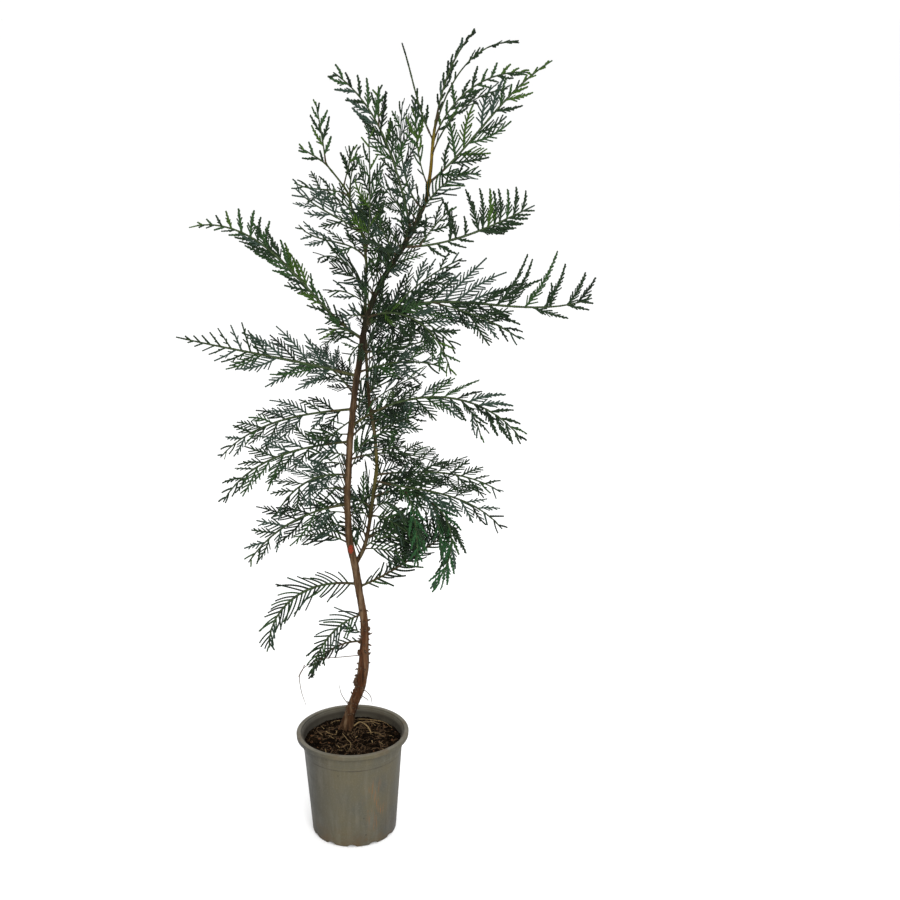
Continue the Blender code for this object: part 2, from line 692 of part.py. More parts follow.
def rod_distances(start, end, starts, ends):
    """Shortest distances from one straight run to many."""
    run = end - start
    runs = ends - starts
    between = start - starts
    a = run @ run
    e = np.einsum("ij,ij->i", runs, runs)
    f = np.einsum("ij,ij->i", runs, between)
    b = runs @ run
    c = between @ run
    spread = a * e - b * b
    s = np.clip(np.where(spread > 1e-9, (b * f - c * e) / np.maximum(spread, 1e-9), 0.0), 0.0, 1.0)
    t = (b * s + f) / e
    s = np.clip(np.where(t < 0.0, -c / a, np.where(t > 1.0, (b - c) / a, s)), 0.0, 1.0)
    t = np.clip(t, 0.0, 1.0)
    nearest = start + np.outer(s, run) - (starts + runs * t[:, None])
    return np.linalg.norm(nearest, axis=1)


def plan_shoots(axis, draw):
    """The side shoots of one frond, root to tip, set alternately left and right."""
    frond = axis.frond
    first = frond.bare + FIRST_SHOOT
    leafy = frond.length - first - BARE_TIP
    count = max(2, round(leafy / SHOOT_PITCH))
    side = 1 if draw.random() < 0.5 else -1
    shoots = []
    for i in range(count):
        share = (i + 0.5) / count
        distance = first + leafy * share
        along, across = heading(frond, distance / frond.length)
        angle = SHOOT_ANGLE + (SHOOT_ANGLE_AT_TIP - SHOOT_ANGLE) * share
        angle += draw.uniform(-SHOOT_ANGLE_VARIATION, SHOOT_ANGLE_VARIATION)
        lift = math.radians(draw.uniform(-SHOOT_LIFT, SHOOT_LIFT))
        twist = math.radians(draw.uniform(-SHOOT_TWIST, SHOOT_TWIST))
        length = shoot_length(frond, share) * draw.uniform(1.0 - SHOOT_VARIATION, 1.0 + SHOOT_VARIATION)
        length = min(length, (frond.length - distance) / math.cos(math.radians(angle)) + SHOOT_OUTREACH)
        flat = along.cross(across)
        outward = across * math.cos(lift) + flat * (side * math.sin(lift))
        toward = along * math.cos(math.radians(angle)) + outward * (side * math.sin(math.radians(angle)))
        normal = Matrix.Rotation(twist, 3, toward) @ along.cross(outward)
        if length > SHORTEST_SHOOT:
            shoots.append(Shoot(axis.at(distance), along, outward, normal, side, angle, length))
        side = -side
    return shoots


def stem_runs(stations):
    """A stem's straight runs and their radii."""
    points, widths = stem_points(stations)
    points = [Vector(point) for point in points]
    runs = list(zip(points[:-1], points[1:]))
    return runs, [max(pair) / 2 for pair in zip(widths[:-1], widths[1:])]


def make_fronds(collection, sleeves, hosts):
    """Every frond with its bough. A shoot that would come near another limb or mass is skipped."""
    draw = random.Random(SEED)
    crowd = Crowd()
    for number, stations in enumerate(hosts.values()):
        crowd.add(*stem_runs(stations), -1 - number)
    axes = [Axis(frond, hosts) for frond in FRONDS]
    for owner, axis in enumerate(axes):
        points, widths = axis.stations(axis.frond.thickness + AXIS_ROOT, axis.frond.length)
        runs = list(zip(points[:-1], points[1:]))
        crowd.add(runs, [width / 2 for width in widths[:-1]], owner)
    for owner, axis in enumerate(axes):
        placed = []
        for shoot in plan_shoots(axis, draw):
            runs = shoot.outline_runs()
            if crowd.is_clear(runs[1:], SHOOT_WIDTH / 2, owner):
                crowd.add(runs, [SHOOT_WIDTH / 2] * len(runs), owner)
                placed.append(shoot)
        make_frond(axis, placed, collection, sleeves[axis.frond.host])


def make_frond(axis, shoots, collection, sleeve):
    """One frond: a bough where it has one, and its foliage fused into one solid."""
    frond = axis.frond
    start = 0.0
    if frond.bough:
        points, widths = axis.stations(0.0, frond.bare)
        bough = tube(frond.name.replace("_foliage", ""), points, widths, collection, BOUGH_SIDES)
        boolean(bough, "DIFFERENCE", sleeve)
        weld(bough.data)
        bough.data.shade_smooth()
        add_material(bough, "bark")
        start = frond.bare + GAP
    points, widths = axis.stations(start, frond.length)
    mass = tube(frond.name, points, widths, collection, TWIG_SIDES)
    if not frond.bough:
        boolean(mass, "DIFFERENCE", sleeve)
        weld(mass.data)
    blades = new_collection(frond.name + "_shoots")
    for i, shoot in enumerate(shoots):
        add_mesh(f"{frond.name}_shoot_{i + 1}", shoot.mesh(f"{frond.name}_shoot_{i + 1}"), blades)
    if shoots:
        boolean(mass, "UNION", blades, "MANIFOLD")
    for blade in list(blades.objects):
        remove_object(blade)
    bpy.data.collections.remove(blades)
    keep_main_body(mass.data)
    add_material(mass, "foliage")
    return mass


def main():
    """Builds the pot, the soil, both stems and all the fronds."""
    clear_scene()
    parts = new_collection("leyland_cypress")
    cutters = new_collection("cutters")
    notch_cutters = new_collection("notch_cutters")
    make_pot(parts, notch_cutters)
    make_soil(parts)
    hosts = {"trunk": TRUNK, "second_stem": SECOND_STEM}
    sides = {"trunk": TRUNK_SIDES, "second_stem": STEM_SIDES}
    make_stem("trunk", TRUNK, parts, sides["trunk"])
    sleeves = {name: make_sleeve(name + "_sleeve", hosts[name], cutters, sides[name]) for name in hosts}
    second = make_stem("second_stem", SECOND_STEM, parts, sides["second_stem"])
    boolean(second, "DIFFERENCE", sleeves["trunk"])
    weld(second.data)
    make_fronds(parts, sleeves, hosts)


main()
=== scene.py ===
"""Looks of a young leyland cypress in a round nursery pot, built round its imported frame.

The fronds grow by the same rule as the solids: a tapering axis that bends through three slopes, with flat
side shoots set left and right in turn. Here the side shoots are scaly twigs, and they carry finer ones.

Lengths inside the classes are in millimetres and angles in degrees, until a mesh is made in metres. Azimuth 0
is +X and 90 is +Y. A slope of 90 points straight up.
"""

import logging
import math
from dataclasses import dataclass, field
from enum import Enum

import bpy
import numpy as np
from bpy.types import Material, Mesh, NodeSocket, Object
from mathutils import Euler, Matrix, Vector, noise


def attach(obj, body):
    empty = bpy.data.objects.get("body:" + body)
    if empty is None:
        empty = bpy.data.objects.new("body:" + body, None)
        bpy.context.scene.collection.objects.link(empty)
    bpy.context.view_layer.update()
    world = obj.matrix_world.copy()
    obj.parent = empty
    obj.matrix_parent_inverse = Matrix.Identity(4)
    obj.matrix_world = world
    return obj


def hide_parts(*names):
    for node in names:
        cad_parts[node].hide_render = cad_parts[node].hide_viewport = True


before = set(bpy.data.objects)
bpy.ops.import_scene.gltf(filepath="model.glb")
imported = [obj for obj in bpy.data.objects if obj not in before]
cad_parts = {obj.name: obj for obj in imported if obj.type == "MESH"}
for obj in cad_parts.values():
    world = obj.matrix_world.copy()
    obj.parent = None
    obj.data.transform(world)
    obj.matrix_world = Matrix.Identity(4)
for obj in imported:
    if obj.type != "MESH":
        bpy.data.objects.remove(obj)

LOG = logging.getLogger("leyland_cypress")
MM = 0.001
Array = np.ndarray
Draw = np.random.Generator
Point = tuple[float, float, float]
Pair = tuple[float, float]
Colour = tuple[float, float, float]


class Slot(Enum):
    """The record's material slots."""

    POT = "pot"
    SOIL = "soil"
    BARK = "bark"
    FOLIAGE = "foliage"


class Tone(Enum):
    """The greens and browns that the sprays are dealt."""

    DEEP = 0
    DARK = 1
    MID = 2
    SILVER = 3
    BRIGHT = 4
    DRY = 5
    FRESH = 6


class Health(Enum):
    """How a frond fares, as the share of each tone that its sprays are dealt."""

    SHADED = (0.4, 0.4, 0.08, 0.12, 0.0, 0.0)
    LIVE = (0.16, 0.43, 0.15, 0.25, 0.01, 0.0)
    SILVERY = (0.1, 0.24, 0.12, 0.54, 0.0, 0.0)
    GROWING = (0.05, 0.36, 0.37, 0.06, 0.16, 0.0)
    TENDER = (0.0, 0.2, 0.4, 0.0, 0.4, 0.0)
    WITHERED = (0.25, 0.25, 0.0, 0.0, 0.0, 0.5)
    HANGING = (0.05, 0.16, 0.05, 0.06, 0.0, 0.0, 0.68)


@dataclass(frozen=True)
class Setting:
    """How a kind of frond sets its side shoots.

    The pitch counts both sides. Shoots past the tufted share of the frond carry short scales pressed to them.
    """

    pitch: float
    length: float
    tufted_from: float
    branched: bool = True
    rise: Pair = (0.55, 1.5)
    tip_share: float = 0.66
    spread: float = 1.0
    first: float = 4.0


class Habit(Enum):
    """The kinds of frond: feathery in the shade, tufted where it grows, a plain comb, a bare whip."""

    FEATHERY = Setting(8.4, 1.0, 1.0, tip_share=0.56)
    LONG = Setting(8.0, 1.0, 0.48, rise=(0.62, 1.5), tip_share=0.5)
    YOUNG = Setting(7.4, 0.86, 0.5, rise=(0.34, 1.3))
    PLUME = Setting(5.4, 0.76, 0.36, rise=(0.3, 1.5), tip_share=0.6, spread=0.74)
    TUFTED = Setting(7.6, 0.86, 0.0, tip_share=0.42, spread=0.85)
    CLUSTERED = Setting(5.6, 0.52, 0.0, tip_share=0.34, spread=0.62)
    COMB = Setting(3.3, 0.76, 1.0, False, first=0.0)
    FAN = Setting(3.0, 0.92, 1.0, False, rise=(0.95, 0.3), first=-6.0)
    CLOSE_COMB = Setting(2.9, 0.76, 1.0, False)
    WHIP = Setting(22.0, 0.3, 0.0)


class Zone(Enum):
    """The parts of the crown that become pieces, each with the height that its fronds' roots stay below."""

    LOWER = 520.0
    MIDDLE = 700.0
    UPPER = 2000.0


T, S = "trunk", "second_stem"
DEEP, DARK, MID, SILVER, BRIGHT, DRY, FRESH = Tone
SHADED, LIVE, SILVERY, GROWING, TENDER, WITHERED, HANGING = Health
FEATHERY, LONG, YOUNG, PLUME, TUFTED, CLUSTERED, COMB, FAN, CLOSE_COMB, WHIP = Habit


# Trunk and second stem: height, x, y and thickness at stations along the centre line
TRUNK = (
    (128.3, -9, 28, 22), (133, -9, 28, 17.5), (145, -6.2, 27.8, 14.6), (162, -0.8, 27, 13.2),
    (187, 8.8, 26, 13.6), (215, 13.9, 25, 14.2), (248, 15.8, 24, 11.4), (281, 16.4, 23, 9.8),
    (326, 10.2, 22, 9.2), (356, 6.6, 20.5, 9.4), (395, -0.8, 18, 8.6), (449, -2, 15, 7.8),
    (528, 3.4, 12, 7.6), (592, 10.9, 9, 7.4), (642, 19.2, 7, 7), (680, 25.9, 5, 6.8),
    (708, 36, 3, 6.4), (734, 49.4, 1, 6), (765, 69.8, 0, 5.6), (791, 84, 0, 5),
    (820, 98.1, 0, 4.5), (859, 104.1, 1, 3.8), (891, 106.5, 2, 3.3), (913, 110, 3, 2.9),
)
SECOND_STEM = (
    (362, 6, 20.5, 6.2), (374, 13.7, 21, 5.4), (390, 20.2, 22, 4.8), (420, 25.7, 23, 4.6),
    (460, 31.3, 23, 4.4), (493, 35.5, 22, 4.2), (532, 33.7, 20, 4.1), (565, 28.2, 18, 4),
    (596, 26.3, 17.5, 3.8), (634, 24.5, 17.5, 3.6), (671, 23.4, 16.5, 3.5), (708, 25.3, 14, 3.3),
    (745, 27.3, 11, 3.1), (777, 25, 8, 2.9), (807, 12.9, 5, 2.6), (831, 7.7, 3, 2.4),
    (847, -3.5, 1, 2.2), (865, -18, 0, 2),
)
# Dead twigs at the foot of the trunk: x, y and height along each
BASE_TWIGS = (
    ((-60, 2, 231), (-61.8, 0, 226), (-66.6, 0, 216), (-66.3, 0, 205), (-64.1, 0, 191),
     (-59.4, 0, 175)),
    ((12, 16, 238), (-15, 10, 238), (-36.8, 8, 236.7), (-52.3, 6, 231), (-62.8, 4, 224),
     (-68.2, 2, 214)),
    ((13, 22, 186), (18, 20, 184), (23, 18, 178), (25, 18, 167)),
    ((8, 22, 178), (13, 20, 177), (18, 19, 174), (20, 18, 171.5)),
    ((2, 30, 152), (-8, 34, 160), (-16, 36, 172), (-19, 35, 186)),
)


@dataclass(frozen=True)
class Frond:
    """One flat frond and the bare bough that may carry it, as the solids have them."""

    name: str
    host: str
    height: float
    azimuth: float
    slopes: tuple[float, float, float]
    length: float
    width: float
    narrowing: float
    tilt: float
    bare: float
    thickness: float
    health: Health = LIVE
    habit: Habit = FEATHERY
    bough: bool = False
    ruled_until: float = 1.0
    turn: float = 0.0

    @property
    def leading(self) -> list["Shoot"]:
        """Its shoots that stand out of the rule."""
        return [Shoot(*row) for row in LEADING_SHOOTS.get(self.name, ())]


FRONDS = (
    Frond("low_left_bough_foliage", T, 334, 200, (15, -3, -95), 162, 50, 0.7, 118, 26, 3.4, LIVE, COMB,
        bough=True, turn=20),
    Frond("withered_low_frond", T, 292, 205, (-3, -53, -80), 112, 34, 0.9, 125, 10, 2.6, LIVE, FAN),
    Frond("dying_low_twig", T, 254, 195, (9, -22, -83), 93, 20, 0.5, 110, 20, 2.8, WITHERED, COMB),
    Frond("left_fork_foliage", T, 390, 150, (15, 8, -34), 72, 46, 0.7, 130, 10, 2.4, SHADED, CLOSE_COMB),
    Frond("left_second_foliage", T, 443, 205, (2, -14, -47), 150, 54, 0.75, 115, 20, 3.2, bough=True,
        turn=15),
    Frond("left_third_foliage", T, 482, 230, (19, 6, -54), 136, 54, 0.75, 135, 18, 3),
    Frond("left_fourth_foliage", T, 526, 190, (-3, -7, -62), 180, 56, 0.86, 120, 24, 3.4, bough=True),
    Frond("left_inner_foliage", T, 554, 245, (-4, -7, -8), 72, 34, 0.7, 150, 12, 2.2, SHADED),
    Frond("left_fifth_foliage", T, 568, 165, (-9, -11, -50), 198, 54, 0.86, 115, 24, 3.4, bough=True),
    Frond("left_long_foliage", T, 610, 178, (15, 8, 13), 223, 60, 0.76, 115, 22, 3.8, SILVERY, bough=True,
        ruled_until=0.53),
    Frond("left_rising_foliage", T, 656, 172, (30, 83, -19), 258, 58, 0.7, 125, 40, 4, GROWING, PLUME,
        bough=True, ruled_until=0.62),
    Frond("right_hanging_foliage", S, 448, 335, (43, -68, -138), 209, 50, 0.5, 100, 20, 3, HANGING, PLUME,
        turn=60),
    Frond("low_right_bough_foliage", T, 330, 355, (24, 41, 38), 149, 36, 0.5, 50, 34, 3.2, SHADED, COMB,
        bough=True),
    Frond("right_inner_foliage", S, 426, 325, (11, -29, -26), 84, 38, 0.7, 60, 10, 2.2, LIVE, CLOSE_COMB),
    Frond("right_back_low_foliage", S, 397, 50, (12, -15, -17), 112, 42, 0.7, 40, 12, 2.4, LIVE, CLOSE_COMB),
    Frond("right_second_foliage", S, 472, 335, (-7, 16, -46), 181, 46, 0.7, 55, 16, 3),
    Frond("right_third_foliage", S, 480, 10, (3, -1, -37), 166, 46, 0.7, 60, 16, 3),
    Frond("right_back_foliage", T, 502, 40, (7, -24, -26), 170, 50, 0.6, 35, 46, 2.8, SHADED),
    Frond("right_fourth_foliage", T, 546, 345, (38, 14, -54), 238, 62, 0.65, 55, 48, 3.6, LIVE, YOUNG,
        bough=True),
    Frond("right_fifth_foliage", T, 614, 330, (24, 18, -13), 126, 46, 0.65, 60, 24, 2.8),
    Frond("right_sixth_foliage", T, 640, 35, (-9, 7, 7), 110, 46, 0.65, 55, 14, 2.6, SHADED),
    Frond("right_long_foliage", T, 676, 8, (34, -40, 20), 282, 66, 0.42, 68, 34, 4, LIVE, LONG, bough=True,
        ruled_until=0.58),
    Frond("right_drooping_foliage", T, 682, 315, (24, -1, -76), 170, 44, 0.7, 60, 20, 3, GROWING),
    Frond("right_upper_foliage", T, 768, 20, (-4, 23, 22), 173, 52, 0.5, 68, 14, 3.2, LIVE, LONG,
        ruled_until=0),
    Frond("second_stem_dark_foliage", S, 715, 235, (49, 52, -15), 106, 44, 0.7, 130, 14, 2.4, SHADED),
    Frond("second_stem_low_left_foliage", S, 752, 210, (57, -25, 54), 100, 38, 0.7, 120, 12, 2.4, SILVERY),
    Frond("second_stem_mid_left_foliage", S, 784, 185, (35, 20, 48), 92, 38, 0.7, 115, 12, 2.2, SILVERY),
    Frond("second_stem_high_left_foliage", S, 827, 150, (22, -23, 23), 79, 38, 0.7, 120, 10, 2, SILVERY),
    Frond("second_stem_left_crest", S, 855, 160, (51, 22, 23), 50, 28, 0.7, 110, 8, 1.8, TENDER, TUFTED),
    Frond("second_stem_crest", S, 864, 160, (85, 79, 80), 71, 34, 0.75, 85, 4, 2, TENDER, TUFTED),
    Frond("second_stem_right_crest", S, 838, 60, (64, 64, 60), 50, 26, 0.7, 40, 8, 1.8, GROWING, TUFTED),
    Frond("upright_inner_foliage", S, 757, 285, (45, 100, 92), 158, 42, 0.75, 20, 16, 2.2, GROWING),
    Frond("upper_left_foliage", T, 786, 160, (76, 79, 30), 209, 56, 0.65, 100, 24, 3, LIVE, YOUNG),
    Frond("upper_back_foliage", T, 813, 120, (8, 92, 102), 144, 46, 0.65, 15, 16, 2.6),
    Frond("leader_spike", T, 891, 190, (61, 84, 71), 114, 20, 0.9, 90, 12, 1.8, SHADED, WHIP),
    Frond("leader_tip", T, 912, 20, (79, 72, 42), 113, 34, 0.6, 80, 6, 2.4, SHADED, CLUSTERED),
    Frond("leader_first_right", T, 901, 322, (71, 57, -8), 168, 34, 0.6, 60, 14, 2.2, LIVE, WHIP),
    Frond("leader_second_right", T, 886, 35, (69, 23, -7), 172, 32, 0.6, 65, 14, 2.2, GROWING, TUFTED),
    Frond("leader_third_right", T, 873, 310, (63, 27, 7), 159, 30, 0.6, 60, 14, 2, LIVE, TUFTED),
    Frond("leader_fourth_right", T, 842, 5, (38, 64, 30), 198, 50, 0.6, 75, 14, 3, GROWING, LONG,
        ruled_until=0.66),
    Frond("back_first_foliage", T, 420, 95, (12, 0, -30), 160, 48, 0.7, 30, 20, 2.6, SHADED),
    Frond("back_second_foliage", T, 530, 65, (14, 6, -10), 180, 52, 0.7, 35, 24, 2.8),
    Frond("back_third_foliage", T, 586, 118, (20, 6, -24), 190, 54, 0.7, -30, 24, 2.8),
    Frond("back_fourth_foliage", S, 640, 80, (22, 12, -12), 180, 54, 0.7, 30, 24, 2.8, SHADED),
    Frond("back_fifth_foliage", T, 722, 68, (34, 24, 4), 170, 50, 0.7, 35, 20, 2.6),
    Frond("back_sixth_foliage", T, 745, 128, (40, 34, 12), 160, 48, 0.7, -35, 18, 2.6, GROWING),
    Frond("front_upper_foliage", T, 748, 262, (34, 26, -18), 124, 42, 0.7, 160, 16, 2.4),
)
# Smaller fronds that branch from a stem or from a frond's axis, where the height is the distance along it
CHILD_FRONDS = (
    Frond("low_inner_spray", S, 380, 345, (56, 10, -50), 84, 48, 0.5, 75, 6, 2, SHADED, CLOSE_COMB),
    Frond("right_upper_inner_spray", "right_upper_foliage", 20, 15, (56, 46, 40), 60, 28, 0.6, 68, 5, 1.8),
    Frond("right_long_lower_spray", "right_long_foliage", 84, 352, (-12, -18, -34), 116, 42, 0.6, 68, 8, 2),
    Frond("right_long_under_spray", "right_long_foliage", 46, 345, (-25, -30, -50), 84, 40, 0.6, 75, 6, 1.8),
    Frond("right_long_over_spray", "right_long_foliage", 36, 10, (48, 34, 22), 104, 40, 0.6, 70, 6, 1.8),
    Frond("hanging_first_spray", "right_hanging_foliage", 62, 272, (-20, -80, -98), 84, 40, 0.6, -12, 6, 1.8,
        HANGING, PLUME),
    Frond("hanging_second_spray", "right_hanging_foliage", 84, 300, (-45, -78, -92), 76, 36, 0.6, 90, 6, 1.8,
        HANGING, PLUME),
    Frond("hanging_third_spray", "right_hanging_foliage", 46, 286, (10, -62, -100), 112, 42, 0.6, 18, 6, 1.8,
        HANGING, PLUME),
    Frond("right_fourth_hanging_spray", "right_fourth_foliage", 148, 330, (-30, -62, -80), 56, 26, 0.6, 95,
        6, 1.6),
    Frond("second_low_comb_spray", S, 382, 345, (10, -8, -14), 66, 46, 0.5, 80, 5, 1.8, LIVE, CLOSE_COMB),
    Frond("second_next_comb_spray", S, 396, 350, (22, 6, -6), 70, 44, 0.5, 80, 5, 1.8, LIVE, CLOSE_COMB),
    Frond("upper_left_upright_spray", "upper_left_foliage", 126, 90, (70, 84, 90), 46, 24, 0.6, 0, 4, 1.8,
        TENDER, TUFTED),
    Frond("leader_left_upright_spray", T, 838, 150, (60, 92, 88), 100, 36, 0.6, 95, 8, 1.8, GROWING, PLUME),
    Frond("low_stub_spray", T, 263, 188, (38, 24, 5), 36, 20, 0.7, 110, 3, 1.6, LIVE, COMB),
    Frond("second_foot_spray", S, 425, 330, (12, 2, -12), 66, 38, 0.6, 80, 6, 1.8, LIVE, CLOSE_COMB),
    Frond("second_knee_spray", S, 404, 345, (30, 18, 0), 72, 38, 0.6, 85, 6, 1.8, LIVE, CLOSE_COMB),
)


@dataclass(frozen=True)
class Shoot:
    """A side shoot that stands out of its frond's rule: side 1 is up, and a curl below 0 bends out."""

    distance: float
    side: float
    angle: float
    length: float
    curl: float = -0.22
    tone: Tone = DARK


# Shoots that stand out of a frond's rule, each with its Shoot fields in order
LEADING_SHOOTS = {
    "left_rising_foliage": (
        (160, 1, 60, 36, -0.1, MID), (170, 1, 58, 30, -0.1), (180, 1, 62, 37, -0.1, MID),
        (192, 1, 58, 30, 0, MID), (205, 1, 54, 24, 0, BRIGHT), (217, 1, 50, 17, 0), (229, 1, 44, 12, 0, MID),
        (241, 1, 36, 8, 0, BRIGHT), (163, -1, 40, 28, 0.2), (175, -1, 40, 23, 0.2),
        (187, -1, 36, 20, 0.1, MID), (200, -1, 36, 17, 0.1), (213, -1, 34, 14, 0, MID), (226, -1, 32, 11, 0),
        (238, -1, 28, 8, 0),
    ),
    "left_long_foliage": (
        (121, 1, 60, 33, 0.1), (131, 1, 62, 39, 0), (142, 1, 56, 37, 0, SILVER), (155, 1, 46, 30, 0),
        (168, 1, 42, 22, 0), (181, 1, 38, 16, 0), (193, 1, 34, 12, 0), (205, 1, 28, 9, 0),
        (124, -1, 46, 36, 0.2), (136, -1, 44, 33, 0.2), (149, -1, 44, 30, 0.1, SILVER),
        (162, -1, 40, 22, 0.1), (175, -1, 38, 17, 0), (189, -1, 34, 12, 0), (201, -1, 28, 8, 0),
    ),
    "right_long_foliage": (
        (164, 1, 52, 70), (176, 1, 52, 66), (198, 1, 49, 82, -0.2, MID), (222, 1, 48, 63), (229, 1, 72, 29),
        (250, 1, 38, 48), (262, 1, 30, 38, -0.18, DEEP), (207, -1, 22, 46, 0.08), (250, -1, 26, 28, 0.05),
        (268, -1, 24, 15, 0), (273, 1, 28, 11, 0),
    ),
    "right_upper_foliage": (
        (66, 1, 78, 50), (58, 1, 62, 26), (78, 1, 60, 24), (30, -1, 52, 26, 0.2), (42, -1, 48, 27, 0.2),
        (55, -1, 44, 24, 0.2), (68, -1, 40, 20, 0.2), (96, 1, 80, 52, -0.1), (101, 1, 58, 49),
        (108, 1, 52, 46, -0.2, BRIGHT), (117, 1, 54, 40), (124, 1, 52, 42), (134, 1, 50, 37, -0.2, MID),
        (143, 1, 48, 34), (154, 1, 40, 26), (97, -1, 34, 34, 0.2), (102, -1, 44, 27, 0.2),
        (107, -1, 34, 34, 0.2), (114, -1, 42, 29, 0.2), (121, -1, 34, 30, 0.15), (129, -1, 38, 26, 0.1),
        (137, -1, 32, 24, 0.1), (146, -1, 30, 19, 0.1), (157, -1, 26, 14, 0),
    ),
    "leader_fourth_right": (
        (134, 1, 28, 15, -0.1, MID), (139, -1, 28, 20, 0.1, BRIGHT), (145, 1, 26, 12, 0),
        (150, -1, 26, 13, 0.1, BRIGHT), (157, 1, 24, 10, 0, BRIGHT), (164, -1, 22, 10, 0, BRIGHT),
        (172, 1, 20, 9, 0, BRIGHT), (180, -1, 18, 8, 0, BRIGHT), (188, 1, 14, 7, 0, BRIGHT),
    ),
    "low_right_bough_foliage": (
        (42, 1, 80, 15, 0.1), (49, 1, 82, 20, 0.1), (56, 1, 84, 25, 0.1), (63, 1, 86, 29, 0.15),
        (70, 1, 90, 32, 0.2), (76, 1, 94, 34, 0.2), (82, 1, 98, 34, 0.2), (88, 1, 98, 34, 0.2),
        (95, 1, 100, 40, 0.2), (102, 1, 98, 44, 0.2), (109, 1, 96, 46, 0.2), (116, 1, 92, 46, 0.2),
        (123, 1, 88, 44, 0.2), (130, 1, 84, 38, 0.2), (137, 1, 74, 30, 0.2),
    ),
    "leader_first_right": (
        (94, 1, 24, 15, 0), (99, -1, 20, 12, 0), (103, 1, 20, 13, 0), (107, -1, 18, 10, 0),
        (133, -1, 18, 8, 0), (137, 1, 18, 8, 0), (147, 1, 16, 8, 0), (151, -1, 14, 8, 0), (154, 1, 5, 13, 0),
    ),
    "leader_spike": (
        (20, 1, 34, 22, 0.1), (27, -1, 32, 20, 0.1), (35, 1, 30, 17, 0.1), (43, -1, 28, 14, 0.1),
        (52, 1, 26, 10, 0.1),
    ),
}


@dataclass(frozen=True)
class Thicket:
    """Short inner fronds, set round a stretch of stem."""

    host: str
    heights: Pair
    azimuths: Pair
    count: int
    lengths: Pair
    slopes: Pair
    health: Health = LIVE
    width: float = 38.0
    narrowing: float = 0.6
    bare: float = 6.0
    thickness: float = 1.8
    step: float = 0.618

    def fronds(self, name: str, draw: Draw) -> list[Frond]:
        """The thicket's fronds, evenly up the stem, each turned its own way.

        Args:
            name: first part of their names.
            draw: the seeded random numbers.

        Returns:
            The fronds.
        """
        made = []
        (low, high), (right, left) = self.heights, self.azimuths
        for i in range(self.count):
            height = low + (high - low) * (i + draw.uniform(0.2, 0.8)) / self.count
            azimuth = right + (left - right) * ((i * self.step + 0.3) % 1.0)
            slope = draw.uniform(*self.slopes)
            slopes = (slope, slope - draw.uniform(-15.0, 25.0), slope - draw.uniform(5.0, 70.0))
            length, tilt = draw.uniform(*self.lengths), draw.uniform(50.0, 130.0)
            habit = CLOSE_COMB if i % 2 else FEATHERY
            made.append(Frond(
                f"{name}_{i}", self.host, height, azimuth, slopes, length, self.width, self.narrowing, tilt,
                self.bare, self.thickness, self.health, habit, turn=draw.uniform(-30.0, 30.0),
            ))
        return made


THICKETS = {
    "fork_tuft": Thicket(S, (368, 440), (108, 176), 10, (28, 46), (25, 68), SHADED),
    "second_foot": Thicket(S, (392, 470), (-70, 100), 6, (60, 100), (20, 60)),
    "second_middle": Thicket(S, (525, 690), (-100, 130), 9, (65, 112), (15, 65)),
    "trunk_back": Thicket(T, (410, 630), (0, 100), 8, (60, 105), (15, 60)),
    "trunk_top": Thicket(T, (650, 815), (180, 345), 10, (55, 98), (35, 75)),
    "trunk_sleeve": Thicket(T, (664, 808), (0, 360), 34, (26, 40), (62, 80), SHADED, 14),
    "second_top": Thicket(S, (700, 840), (-60, 120), 5, (45, 80), (35, 75)),
    "second_heart": Thicket(S, (505, 590), (-65, 55), 5, (40, 62), (15, 45)),
    "trunk_left": Thicket(T, (392, 545), (150, 215), 10, (38, 58), (5, 40), width=34),
    "trunk_left_high": Thicket(T, (652, 705), (160, 215), 3, (38, 58), (15, 45), width=32),
}


# Finishes


